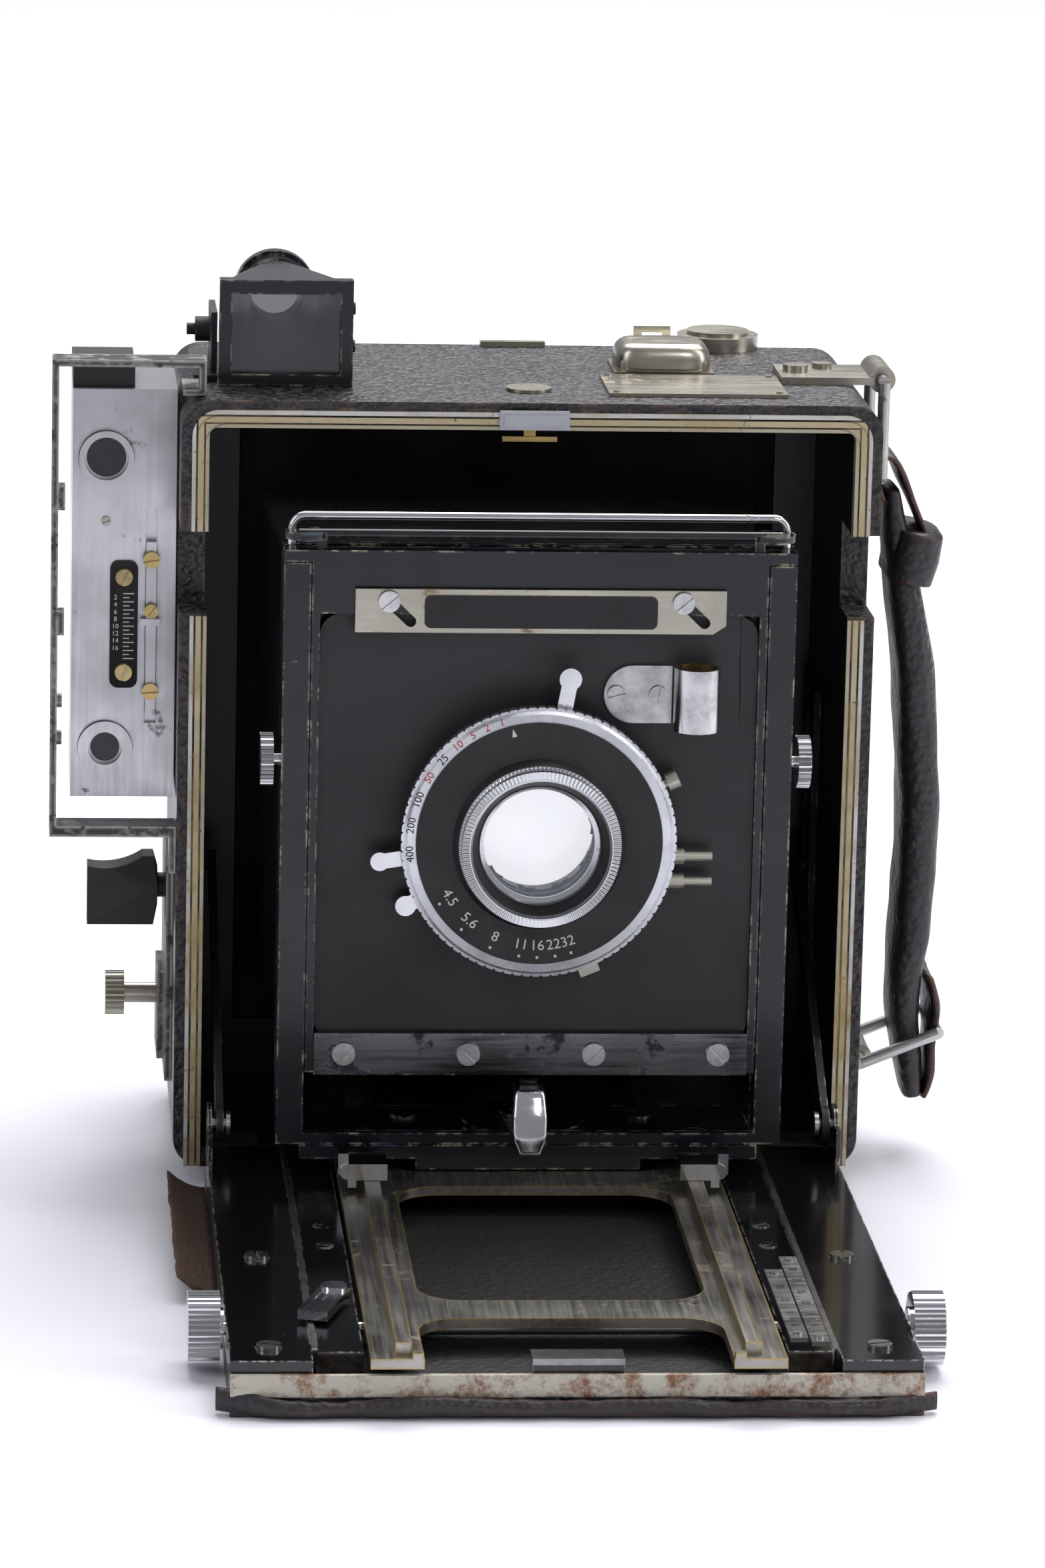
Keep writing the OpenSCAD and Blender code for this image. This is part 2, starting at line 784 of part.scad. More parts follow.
// Metal strip that holds the board's lower edge, and the keeper above it.
module board_strip() {
    block([-50.9, -lip_y - 0.9, board_z0 - 7.6], [50.9, -lip_y + 0.3, board_z0 + 2.4]);
    for (x = [-44, -14.7, 14.7, 44])
        screw_front(x, board_z0 - 2.4, -lip_y - 0.9, 2.7, x * 3, 1.2);
}

module board_slide() {
    z0 = 138.6;
    color(nickel) placed() difference() {
        union() {
            wall_plate(board_y - 2.8, board_y - 1.8) polygon([
                [-43, z0], [40, z0], [43, z0 + 2], [43, z0 + 10.2], [-43, z0 + 10.2]
            ]);
            wall_plate(board_y - 3.2, board_y - 2.7) translate([0, z0 + 5]) round_rect(54, 7.7, 1.5);
        }
        // slanted slots that lift the plate when it slides
        for (x = [-35.2, 33])
            hull() for (t = [0, 1])
                rod_y(x + 5 * t, z0 + 7.4 - 4.8 * t, 1.3, -60, 0);
    }
}

module board_clip() {
    z = 124;
    y = board_y;
    color(silver) placed() {
        board_strip();
        // bracket plate
        difference() {
            union() {
                block([22, y - 1.1, z - 6.8], [31, y, z + 6.8]);
                rod_y(22, z, 6.8, y - 1.1, y);
            }
            block([0, y - 2, z - 9], [14, y + 1, z + 9]);
        }
        screw_front(18, z, y - 1.1, 2.1, 15, 0.8);
        screw_front(27.8, z, y - 1.1, 2.1, 80, 0.8);
        // curled lamp clip
        difference() {
            rod_z(36.4, y - 5.6, 5.4, z - 7.4, z + 7.4);
            rod_z(36.4, y - 5.6, 4.6, z - 8, z + 8);
        }
        // pins of the sliding keeper
        for (x = [-35.2, 33]) {
            rod_y(x, 146, 1.2, y - 3.1, y - 1.25);
            screw_front(x, 146, y - 3, 2.5, 40, 1);
        }
    }
}

module shutter_case() {
    color(black) placed() translate([0, shutter_y, lens_z]) rotate([-90, 0, 0]) {
        difference() {
            union() {
                // body behind the ring
                translate([0, 0, 4.4]) cylinder(r = 29.6, h = 8.6);
                cylinder(r = 28.6, h = 4.5);
                translate([0, 0, -2.4]) cylinder(r1 = 18.8, r2 = 20.2, h = 2.5);
                // front lens barrel
                translate([0, 0, -6]) cylinder(r = 18.4, h = 3.8);
                // rear barrel through the board
                translate([0, 0, 13]) cylinder(r = 17, h = 12);
            }
            translate([0, 0, -7]) cylinder(r1 = 17, r2 = 14.2, h = 5);
            translate([0, 0, -7]) cylinder(r = 14, h = 40);
        }
        // synchroniser tab
        rotate(158) translate([-2.4, -36, 9.6]) cube([4.8, 10, 1.6]);
        // contact posts
        for (dz = [4.6, 10.6])
            translate([28, dz, 8]) rotate([0, 90, 0]) {
                cylinder(r = 1.9, h = 6.4);
                cylinder(r = 1.2, h = 13);
            }
        // winding screw on the right
        translate([26.6, -11.4, 8]) rotate([0, 0, -24]) rotate([0, 90, 0]) {
            cylinder(r = 1.1, h = 4);
            translate([0, 0, 3.8]) cylinder(r = 2.2, h = 2.8);
        }
    }
}

module speed_ring() {
    color(silver) placed() translate([0, shutter_y + 0.4, lens_z]) rotate([-90, 0, 0]) difference() {
        union() {
            translate([0, 0, 1]) knurled(ring_r, 2.6, 90, 0.9);
            cylinder(r1 = ring_r - 1.4, r2 = ring_r - 0.7, h = 1);
        }
        translate([0, 0, -1]) cylinder(r = 28.65, h = 6);
    }
}

module lens_glass() {
    color([0.85, 0.9, 0.95, 0.25]) placed() {
        rod_y(0, lens_z, 13.9, shutter_y - 1.4, shutter_y + 1.2);
        rod_y(0, lens_z, 13.9, shutter_y + 17, shutter_y + 20);
    }
}

// A lever that turns round the lens axis, at the given clock angle from the top.
module ring_lever(turn, inner, reach, ball, y0, y1) {
    translate([0, 0, lens_z]) rotate([0, turn, 0]) difference() {
        union() {
            rod_y(0, 0, inner + 1.6, y0, y1);
            block([-1.8, y0, inner], [1.8, y1, reach]);
            rod_y(0, reach, ball, y0, y1);
        }
        rod_y(0, 0, inner, -100, 100);
        // only the upper part of the ring is left
        block([-50, y0 - 1, -50], [50, y1 + 1, inner * 0.8]);
    }
}

module cocking_lever() {
    color(silver) placed() ring_lever(10, 29.8, 38.6, 2.6, shutter_y + 4.2, shutter_y + 5.8);
}

module release_lever() {
    color(silver) placed() ring_lever(-99, 29.8, 37, 2.2, shutter_y + 6, shutter_y + 7.6);
}

module aperture_lever() {
    color(silver) placed() ring_lever(-119, 29.8, 34.6, 2.4, shutter_y + 7.8, shutter_y + 9.2);
}

module finder_stops() {
    color(brass) placed() both_sides() difference() {
        rod_z(wire_x, wire_y, 1.15, 92, 96);
        rod_z(wire_x, wire_y, 0.5, 91, 97);
    }
}

module finder_wire() {
    color(silver) placed() {
        both_sides() {
            rod_z(wire_x, wire_y, 1, 97, wire_z - 3);
            // round corner of the wire
            translate([wire_x - 3, wire_y, wire_z - 3]) rotate([90, 0, 0])
                rotate_extrude(angle = 90) translate([3, 0]) circle(1);
        }
        rod_x(wire_y, wire_z, 1, 3 - wire_x, wire_x - 3);
    }
}

module side_knobs() {
    color(silver) placed() both_sides() {
        translate([61.2, -25, 107]) rotate([0, 90, 0]) knurled(6.2, 3, 30);
        rod_x(-25, 107, 1.6, std_half, 61.2);
    }
}

body_shell();
front_trim();
inner_rails();
bed_latch();
film_gate();
back_frame();
ground_glass();
hood_box();
hood_door();
curtain_roller();
bellows_rear();
bellows_front();
viewfinder_case();
viewfinder_glass();
finder_bracket();
flash_bracket();
rangefinder_case();
rangefinder_windows();
rangefinder_scale();
rangefinder_slider();
winding_plate();
winding_key();
tension_knob();
table_plate();
release_dome();
dome_bail();
strap_lugs();
strap_loops();
strap();
tripod_plate();
strut_brackets();
hinge_rod();
bed_panel();
bed_plates();
bed_scales();
bed_lock();
focus_shaft();
strut_pins();
strut_left();
strut_right();
track();
stop_left();
stop_right();
carriage_shoes();
standard_base();
base_lever();
standard_posts();
lens_frame();
lens_board();
board_slide();
board_clip();
shutter_case();
speed_ring();
lens_glass();
cocking_lever();
release_lever();
aperture_lever();
finder_stops();
finder_wire();
side_knobs();
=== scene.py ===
import math
import bpy
import bmesh
from mathutils import Vector, Matrix, noise

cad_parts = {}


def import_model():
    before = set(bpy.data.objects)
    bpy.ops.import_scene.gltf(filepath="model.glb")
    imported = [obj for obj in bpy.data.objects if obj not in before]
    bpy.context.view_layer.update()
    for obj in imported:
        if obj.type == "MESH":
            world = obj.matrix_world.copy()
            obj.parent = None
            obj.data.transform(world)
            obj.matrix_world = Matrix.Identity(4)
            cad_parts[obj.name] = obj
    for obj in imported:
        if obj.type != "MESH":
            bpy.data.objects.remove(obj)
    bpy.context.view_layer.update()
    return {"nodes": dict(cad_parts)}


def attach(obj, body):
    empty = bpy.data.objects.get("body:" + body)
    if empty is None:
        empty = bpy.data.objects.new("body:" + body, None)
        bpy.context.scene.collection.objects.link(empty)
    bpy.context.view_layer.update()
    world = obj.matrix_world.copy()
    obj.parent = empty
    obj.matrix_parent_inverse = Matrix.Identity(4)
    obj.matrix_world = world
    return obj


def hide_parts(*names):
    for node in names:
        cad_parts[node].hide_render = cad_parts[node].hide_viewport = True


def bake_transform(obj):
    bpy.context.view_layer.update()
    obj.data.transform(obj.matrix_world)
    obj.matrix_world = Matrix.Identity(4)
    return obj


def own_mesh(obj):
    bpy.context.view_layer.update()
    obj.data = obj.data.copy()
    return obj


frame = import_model()
NODE = frame["nodes"]

MM = 1000.0  # millimetres in a metre
TRIM_Y = 48  # the row frame's Y origin behind the front trim, mm
FOOT = 4  # the body's underside above the row frame's floor, mm
LENS_Z = 91  # the lens axis above the body's underside, mm
AXIS_Z = (LENS_Z + FOOT) / MM  # the same height in the row frame, m
STRAP_Y = 40  # the strap's middle, mm
LEAF_R = 13.95  # the iris leaves' outer edge, just inside the 14 mm barrel
MARK = Vector((0, -0.00004, 0))  # how far a printed mark stands out to the front, m


# ---------------------------------------------------------------- places
def R(x, y, z):
    """A point given in mm from the front trim and the body's underside, in the row frame."""
    return Vector((x / MM, (y - TRIM_Y) / MM, (z + FOOT) / MM))


# ---------------------------------------------------------------- node helpers
class Tree:
    """A material being built from nodes; most methods return an output socket."""

    def __init__(self, name):
        self.m = bpy.data.materials.new(name)
        self.m.use_nodes = True
        self.t = self.m.node_tree
        self.t.nodes.clear()
        self.out = self.t.nodes.new("ShaderNodeOutputMaterial")
        self.b = self.t.nodes.new("ShaderNodeBsdfPrincipled")
        self.t.links.new(self.b.outputs[0], self.out.inputs[0])
        self.co = self.n("ShaderNodeTexCoord").outputs["Object"]

    def n(self, kind, ins=None, **props):
        node = self.t.nodes.new(kind)
        for k, v in props.items():
            setattr(node, k, v)
        for k, v in (ins or {}).items():
            self.put(node.inputs[k], v)
        return node

    def put(self, socket, v):
        if isinstance(v, bpy.types.NodeSocket):
            self.t.links.new(v, socket)
        elif isinstance(v, (tuple, list)) and len(v) == 3 and socket.type == "RGBA":
            socket.default_value = (*v, 1)
        else:
            socket.default_value = v

    def set(self, name, v):
        self.put(self.b.inputs[name], v)

    def noise(self, scale, detail=4, rough=0.55, vec=None, dist=0.0):
        return self.n("ShaderNodeTexNoise", {"Vector": vec or self.co, "Scale": scale, "Detail": detail,
            "Roughness": rough, "Distortion": dist}).outputs[0]

    def cells(self, scale, feature="F1", vec=None, rand=1.0):
        return self.n("ShaderNodeTexVoronoi", {"Vector": vec or self.co, "Scale": scale,
            "Randomness": rand}, feature=feature).outputs["Distance"]

    def math(self, op, a, b=0.0, c=None):
        node = self.n("ShaderNodeMath", {0: a, 1: b}, operation=op)
        if c is not None:
            self.put(node.inputs[2], c)
        return node.outputs[0]

    def mul(self, a, b):
        return self.math("MULTIPLY", a, b)

    def add(self, a, b):
        return self.math("ADD", a, b)

    def sub(self, a, b):
        return self.math("SUBTRACT", a, b)

    def ramp(self, v, a, b, c=0.0, d=1.0):
        return self.n("ShaderNodeMapRange", {"Value": v, "From Min": a, "From Max": b, "To Min": c,
            "To Max": d}).outputs[0]

    def mix(self, f, a, b):
        node = self.n("ShaderNodeMix", data_type="RGBA")
        self.put(node.inputs[0], f)
        self.put(node.inputs[6], a)
        self.put(node.inputs[7], b)
        return node.outputs[2]

    def mixf(self, f, a, b):
        node = self.n("ShaderNodeMix", data_type="FLOAT")
        self.put(node.inputs[0], f)
        self.put(node.inputs[2], a)
        self.put(node.inputs[3], b)
        return node.outputs[0]

    def xyz(self, vec=None):
        return self.n("ShaderNodeSeparateXYZ", {0: vec or self.co}).outputs

    def stretch(self, sx, sy, sz):
        return self.n("ShaderNodeMapping", {"Vector": self.co, "Scale": (sx, sy, sz)}).outputs[0]

    def edge(self, radius):
        """About 1 along sharp outer edges and 0 on flat faces."""
        bev = self.n("ShaderNodeBevel", {"Radius": radius}, samples=4).outputs[0]
        nor = self.n("ShaderNodeNewGeometry").outputs["Normal"]
        dot = self.n("ShaderNodeVectorMath", {0: bev, 1: nor}, operation="DOT_PRODUCT").outputs["Value"]
        return self.ramp(dot, 0.985, 0.86)

    def up(self):
        return self.xyz(self.n("ShaderNodeNewGeometry").outputs["Normal"])[2]

    def bump(self, h, dist, strength=1.0, normal=None):
        ins = {"Height": h, "Distance": dist, "Strength": strength}
        if normal is not None:
            ins["Normal"] = normal
        return self.n("ShaderNodeBump", ins).outputs[0]


def metal(name, base, rough=0.3, metallic=1.0, worn=None, worn_metal=0.8, width=0.0006, amount=0.5,
          blot=None, blot_amount=0.45, blot_scale=60, scratch=0.35, brushed=None, coat=0.0, under=None):
    """A metal, plated or enamelled face: cloudy tone, fine scratches, rubbed edges and chips."""
    t = Tree(name)
    cloud = t.noise(35, 5)
    fine = t.noise(420, 3)
    col = t.mix(t.ramp(cloud, 0.35, 0.7), base, tuple(c * 0.72 for c in base))
    r = t.ramp(cloud, 0.3, 0.75, rough * 0.75, min(1, rough * 1.5))
    met = metallic
    if blot:
        spots = t.ramp(t.add(t.mul(t.noise(blot_scale, 8, 0.7), 0.8), t.mul(fine, 0.2)),
            0.62 - 0.12 * blot_amount, 0.66 - 0.1 * blot_amount)
        col = t.mix(spots, col, blot)
        r = t.mixf(spots, r, 0.62)
    if worn:
        e = t.edge(width)
        chips = t.ramp(t.noise(190, 6, 0.75), 0.63 - 0.22 * amount, 0.68 - 0.2 * amount)
        rare = t.ramp(t.noise(330, 5, 0.8), 0.735 - 0.05 * amount, 0.75 - 0.05 * amount)
        e = t.math("MINIMUM", t.add(t.mul(e, chips), rare), 1.0)
        tone = t.mix(t.ramp(t.noise(90, 3), 0.4, 0.62), worn, under or tuple(c * 0.7 for c in worn))
        col = t.mix(e, col, tone)
        met = t.mixf(e, metallic, worn_metal)
        r = t.mixf(e, r, 0.42)
    t.set("Base Color", col)
    t.set("Metallic", met)
    if brushed:
        v = t.stretch(*brushed)
    else:
        v = t.stretch(40, 900, 900)
    lines = t.noise(1.0, 3, 0.6, v)
    lines2 = t.noise(1.0, 4, 0.7, t.stretch(1300, 70, 260))
    t.set("Roughness", t.add(r, t.mul(t.sub(lines, 0.5), scratch)))
    h = t.add(t.mul(lines, 0.6), t.mul(lines2, 0.4))
    t.set("Normal", t.bump(h, 0.00004 if brushed else 0.000015, 0.6, t.bump(fine, 0.00002, 0.5)))
    if coat:
        t.b.inputs["Coat Weight"].default_value = coat
        t.b.inputs["Coat Roughness"].default_value = 0.08
    return t.m


def leather(name, base, rub_and_sheen, scale=950, depth=0.00028, rough=0.42, edge_col=(0.16, 0.1, 0.06),
    top_sheen=0.0, edge_amount=0.6, inner=False):
    """Pebbled leather: raised round grain, paler rubbed grain tops, brown at the rubbed edges; on faces
    that point up the grain tops are also painted paler, a painted sheen from the top light.
    """
    t = Tree(name)
    wander = t.n("ShaderNodeTexNoise", {"Vector": t.co, "Scale": 300}).outputs[1]
    shift = t.n("ShaderNodeVectorMath", {0: wander, "Scale": 0.0012}, operation="SCALE").outputs[0]
    warp = t.n("ShaderNodeVectorMath", {0: t.co, 1: shift}, operation="ADD").outputs[0]
    cell = t.cells(scale, "SMOOTH_F1", warp)
    big = t.cells(scale * 0.45, "F1", warp)
    creases = t.noise(140, 6, 0.6, None, 0.6)
    h = t.sub(1.0, t.add(t.mul(cell, 0.8), t.mul(big, 0.45)))
    tops = t.ramp(h, 0.35, 0.75)
    rub = t.ramp(t.noise(22, 5), 0.38, 0.68)
    # painted sheen: grain tops on faces that point up are painted paler, as the top light would show them
    up = t.ramp(t.up(), 0.6, 0.95, 0.0, top_sheen)
    f = t.math("MINIMUM", t.mul(tops, t.add(t.mul(rub, 0.5), up)), 1.0)
    # the paler tops colour carries both rubbed grain (real wear) and the painted sheen on upward faces
    col = t.mix(f, base, rub_and_sheen)
    e = t.mul(t.edge(0.0016), t.ramp(t.noise(120, 7, 0.7), 0.6 - 0.2 * edge_amount,
        0.72 - 0.2 * edge_amount))
    col = t.mix(e, col, edge_col)
    hh = t.add(h, t.mul(creases, 0.5))
    rr = t.add(t.ramp(rub, 0, 1, rough, rough * 0.72), t.mul(e, 0.3))
    if inner:
        x, y, z = t.xyz()
        m = t.mul(t.ramp(t.math("ABSOLUTE", x), 0.07605, 0.07602), t.ramp(y, -0.0481, -0.0479))
        m = t.mul(m, t.mul(t.ramp(z, 0.0079, 0.00795), t.ramp(z, 0.18505, 0.18502)))
        paint = t.mix(t.ramp(t.noise(40, 5), 0.4, 0.7), (0.006, 0.006, 0.006), (0.014, 0.013, 0.012))
        col = t.mix(m, col, paint)
        hh = t.mul(hh, t.ramp(m, 0, 1, 1, 0.05))
        rr = t.mixf(m, rr, 0.36)
    t.set("Base Color", col)
    t.set("Roughness", rr)
    t.set("Normal", t.bump(hh, depth, 0.9))
    t.b.inputs["Specular IOR Level"].default_value = 0.55
    return t.m


CREAM = (0.56, 0.5, 0.33)
BRASSY = (0.48, 0.33, 0.12)
SCREW_BRASS = (0.5, 0.4, 0.2)
SLIDER_BRASS = (0.5, 0.38, 0.17)
DARK_GLASS = (0.02, 0.023, 0.028)
M = {}
# the body's top faces get the strongest painted sheen (paler grain tops facing up); the door gets a little
M["leather_body"] = leather("leather_body", (0.0075, 0.0065, 0.0075), (0.062, 0.057, 0.06), scale=780,
    depth=0.0006, top_sheen=1.6, rough=0.4, inner=True)
M["leather_door"] = leather("leather_door", (0.008, 0.007, 0.007), (0.05, 0.045, 0.045), scale=780,
    depth=0.0005, top_sheen=0.3)
M["leather_strap"] = leather("leather_strap", (0.014, 0.012, 0.014), (0.055, 0.045, 0.045), scale=620,
    depth=0.0005, rough=0.5, edge_col=(0.2, 0.055, 0.018), edge_amount=1.1)
M["leather_flesh"] = leather("leather_flesh", (0.07, 0.036, 0.022), (0.16, 0.09, 0.06), scale=1500,
    depth=0.0004, rough=0.85, edge_col=(0.03, 0.02, 0.015))
M["enamel"] = metal("enamel", (0.004, 0.0045, 0.0075), 0.26, 0.0, worn=CREAM, worn_metal=0.35,
    width=0.0009, amount=0.62, scratch=0.14, coat=0.12, under=(0.05, 0.09, 0.16))
M["enamel_bed"] = metal("enamel_bed", (0.005, 0.005, 0.006), 0.15, 0.0, worn=(0.62, 0.62, 0.6),
    worn_metal=1.0, width=0.0007, amount=0.75, scratch=0.12, coat=0.35)
M["enamel_flat"] = metal("enamel_flat", (0.011, 0.011, 0.012), 0.5, 0.0, worn=(0.35, 0.33, 0.3),
    worn_metal=0.9, width=0.0006, amount=0.45, scratch=0.2)
M["black_dark"] = metal("black_dark", (0.004, 0.004, 0.004), 0.7, 0.0, scratch=0.1)
M["bracket"] = metal("bracket", (0.055, 0.05, 0.047), 0.42, 0.75, worn=(0.55, 0.53, 0.5), worn_metal=1.0,
    width=0.0014, amount=1.1, blot=(0.24, 0.23, 0.22), blot_amount=0.8, blot_scale=90)
M["aluminium"] = metal("aluminium", (0.6, 0.6, 0.62), 0.34, 1.0, blot=(0.33, 0.33, 0.34),
    blot_amount=0.12, brushed=(900, 900, 26), scratch=0.3)
M["steel"] = metal("steel", (0.5, 0.5, 0.48), 0.3, 1.0, blot=(0.2, 0.17, 0.13), blot_amount=0.35)
M["chrome"] = metal("chrome", (0.72, 0.73, 0.75), 0.13, 1.0, blot=(0.3, 0.28, 0.26), blot_amount=0.05,
    blot_scale=140, scratch=0.2)
M["nickel"] = metal("nickel", (0.5, 0.475, 0.4), 0.27, 1.0, blot=(0.3, 0.24, 0.14), blot_amount=0.3,
    worn=BRASSY, amount=0.35, width=0.0008)
M["brass"] = metal("brass", (0.5, 0.36, 0.14), 0.35, 1.0, blot=(0.16, 0.1, 0.05), blot_amount=0.5)
M["track"] = metal("track", (0.4, 0.385, 0.35), 0.32, 1.0, worn=(0.55, 0.38, 0.13), worn_metal=1.0,
    width=0.0011, amount=1.5, blot=(0.24, 0.21, 0.16), blot_amount=0.45, brushed=(900, 26, 900))
M["strip"] = metal("strip", (0.2, 0.2, 0.22), 0.14, 1.0, blot=(0.05, 0.055, 0.07), blot_amount=0.5,
    blot_scale=70, worn=(0.7, 0.68, 0.6), amount=0.3)
M["plastic"] = metal("plastic", (0.012, 0.012, 0.013), 0.42, 0.0, scratch=0.25)
M["cloth_black"] = metal("cloth_black", (0.007, 0.007, 0.008), 0.62, 0.0, scratch=0.3)
M["ink_white"] = metal("ink_white", (0.72, 0.72, 0.7), 0.5, 0.0, scratch=0.1)
M["ink_black"] = metal("ink_black", (0.01, 0.01, 0.01), 0.5, 0.0, scratch=0.1)
M["ink_red"] = metal("ink_red", (0.42, 0.04, 0.02), 0.5, 0.0, scratch=0.1)


def trim_material():
    """Striping round the front opening: silver, black, worn cream and brass, black, silver."""
    t = Tree("trim")
    x, y, z = t.xyz()
    ax = t.mul(t.math("ABSOLUTE", x), 1000.0)
    zz = t.mul(t.sub(z, 0.004), 1000.0)
    d = t.math("MAXIMUM", t.sub(ax, 76.0), t.sub(zz, 180.7))
    ramp = t.n("ShaderNodeValToRGB", {0: t.ramp(d, 0, 4.2)})
    ramp.color_ramp.interpolation = "CONSTANT"
    stops = [(0, (0.44, 0.4, 0.3)), (0.2, (0.012, 0.012, 0.012)), (0.3, (0.5, 0.42, 0.27)),
        (0.62, (0.012, 0.012, 0.012)), (0.73, (0.6, 0.59, 0.56))]
    el = ramp.color_ramp.elements
    while len(el) < len(stops):
        el.new(0.5)
    for e, (p, c) in zip(el, stops):
        e.position, e.color = p, (*c, 1)
    rub = t.ramp(t.noise(70, 7, 0.65), 0.42, 0.6)
    col = t.mix(t.mul(rub, t.ramp(zz, 170, 40, 0.35, 0.9)), ramp.outputs[0],
        t.mix(t.ramp(d, 1.0, 2.6), (0.36, 0.27, 0.12), (0.33, 0.25, 0.12)))
    specks = t.ramp(t.noise(480, 6, 0.8), 0.62, 0.66)
    col = t.mix(specks, col, (0.03, 0.025, 0.02))
    plate = t.mul(t.ramp(ax, 8.4, 8.3), t.ramp(zz, 180.8, 180.85))
    col = t.mix(plate, col, (0.42, 0.43, 0.46))
    t.set("Base Color", col)
    t.set("Metallic", 0.55)
    t.set("Roughness", t.ramp(t.noise(160, 4), 0.3, 0.7, 0.28, 0.55))
    t.set("Normal", t.bump(t.noise(600, 5, 0.7), 0.00006, 0.6))
    return t.m


def board_material():
    """Satin black paint over plywood, with a long crack right of the name plate."""
    t = Tree("painted_board")
    x, y, z = t.xyz()
    grain = t.noise(1.0, 5, 0.6, t.stretch(420, 420, 18))
    wave = t.noise(14, 3)
    c = t.math("ABSOLUTE", t.sub(t.sub(x, 0.0468), t.mul(t.sub(t.noise(60, 3), 0.5), 0.0012)))
    crack = t.mul(t.ramp(c, 0.00022, 0.0), t.ramp(z, 0.112, 0.128))
    col = t.mix(t.ramp(wave, 0.35, 0.7), (0.0105, 0.0105, 0.0125), (0.0155, 0.0155, 0.018))
    e = t.mul(t.edge(0.0008), t.ramp(t.noise(160, 6, 0.7), 0.45, 0.55))
    col = t.mix(e, col, (0.09, 0.065, 0.04))
    col = t.mix(crack, col, (0.002, 0.002, 0.002))
    t.set("Base Color", col)
    t.set("Roughness", t.ramp(t.noise(50, 6), 0.3, 0.75, 0.36, 0.56))
    h = t.sub(t.mul(grain, 0.35), t.mul(crack, 3.0))
    t.set("Normal", t.bump(h, 0.00012, 0.6, t.bump(t.noise(900, 3), 0.00003, 0.5)))
    return t.m


def shutter_material():
    """Satin black face with a chrome rim and chrome barrel rings, by distance from the lens axis."""
    t = Tree("shutter_black")
    x, y, z = t.xyz()
    zc = t.sub(z, AXIS_Z)
    r = t.mul(t.math("SQRT", t.add(t.mul(x, x), t.mul(zc, zc))), 1000.0)
    front = t.ramp(t.mul(y, -1000.0), 92.6, 92.75)
    ring = t.mul(front, t.mul(t.ramp(r, 15.9, 16.0), t.ramp(r, 20.4, 20.3)))
    knurl_a = t.math("ARCTAN2", x, zc)
    knurl = t.math("SINE", t.mul(knurl_a, 120.0))
    black = t.mix(t.ramp(t.noise(70, 4), 0.35, 0.7), (0.005, 0.005, 0.0055), (0.009, 0.009, 0.01))
    col = t.mix(ring, black, (0.66, 0.67, 0.69))
    out = t.mul(t.ramp(r, 29.7, 29.9), 1.0)
    col = t.mix(out, col, (0.5, 0.48, 0.42))
    t.set("Base Color", col)
    t.set("Metallic", t.math("MAXIMUM", ring, out))
    t.set("Roughness", t.mixf(ring, t.ramp(t.noise(160, 3), 0.3, 0.7, 0.34, 0.5), 0.2))
    h = t.add(t.mul(t.mul(knurl, t.mul(ring, t.ramp(r, 16.6, 16.7))), 0.6), t.mul(t.noise(900, 3), 0.25))
    t.set("Normal", t.bump(h, 0.00012, 0.7))
    return t.m


def ring_material():
    """Polished ring with turned lines."""
    t = Tree("chrome_ring")
    x, y, z = t.xyz()
    zc = t.sub(z, AXIS_Z)
    r = t.math("SQRT", t.add(t.mul(x, x), t.mul(zc, zc)))
    lines = t.math("SINE", t.mul(r, 52000.0))
    cloud = t.noise(60, 4)
    t.set("Base Color", t.mix(t.ramp(cloud, 0.35, 0.7), (0.7, 0.71, 0.74), (0.55, 0.56, 0.6)))
    t.set("Metallic", 1.0)
    t.set("Roughness", t.ramp(t.noise(200, 5), 0.3, 0.7, 0.16, 0.36))
    t.set("Normal", t.bump(lines, 0.00002, 0.35))
    return t.m


def bed_material():
    """The bed's pan: leather below, a cream and rusty painted metal rim above, dark inside."""
    base = M["leather_door"].copy()
    base.name = "bed_leather_rim"
    nt = base.node_tree
    t = Tree.__new__(Tree)
    t.m, t.t = base, nt
    t.b = next(n for n in nt.nodes if n.type == "BSDF_PRINCIPLED")
    t.co = t.n("ShaderNodeTexCoord").outputs["Object"]
    x, y, z = t.xyz()
    old_col = t.b.inputs["Base Color"].links[0].from_socket
    old_rough = t.b.inputs["Roughness"].links[0].from_socket
    z_mm = t.mul(z, 1000.0)
    wob = t.mul(t.sub(t.noise(45, 5), 0.5), 1.6)
    rim = t.ramp(t.add(z_mm, wob), 4.2, 4.5)
    rust = t.ramp(t.noise(120, 8, 0.75), 0.47, 0.6)
    rim_col = t.mix(rust, (0.5, 0.47, 0.4), (0.2, 0.085, 0.03))
    front = t.ramp(t.mul(y, -1000.0), 221.0, 221.4)
    dark = (0.008, 0.008, 0.008)
    col = t.mix(rim, old_col, t.mix(front, dark, rim_col))
    t.set("Base Color", col)
    t.set("Roughness", t.mixf(rim, old_rough, 0.6))
    return base


def clear_glass(name, tint, alpha, rough=0.03):
    """Flat glass, seen through by its alpha, with faint smears."""
    t = Tree(name)
    smear = t.noise(90, 5)
    t.set("Base Color", tint)
    t.set("Roughness", t.ramp(smear, 0.35, 0.75, rough, rough + 0.05))
    t.set("Alpha", alpha)
    t.b.inputs["IOR"].default_value = 1.6
    t.b.inputs["Specular IOR Level"].default_value = 0.9
    t.b.inputs["Coat Weight"].default_value = 0.5
    t.b.inputs["Coat Roughness"].default_value = 0.02
    t.m.use_backface_culling = False
    return t.m


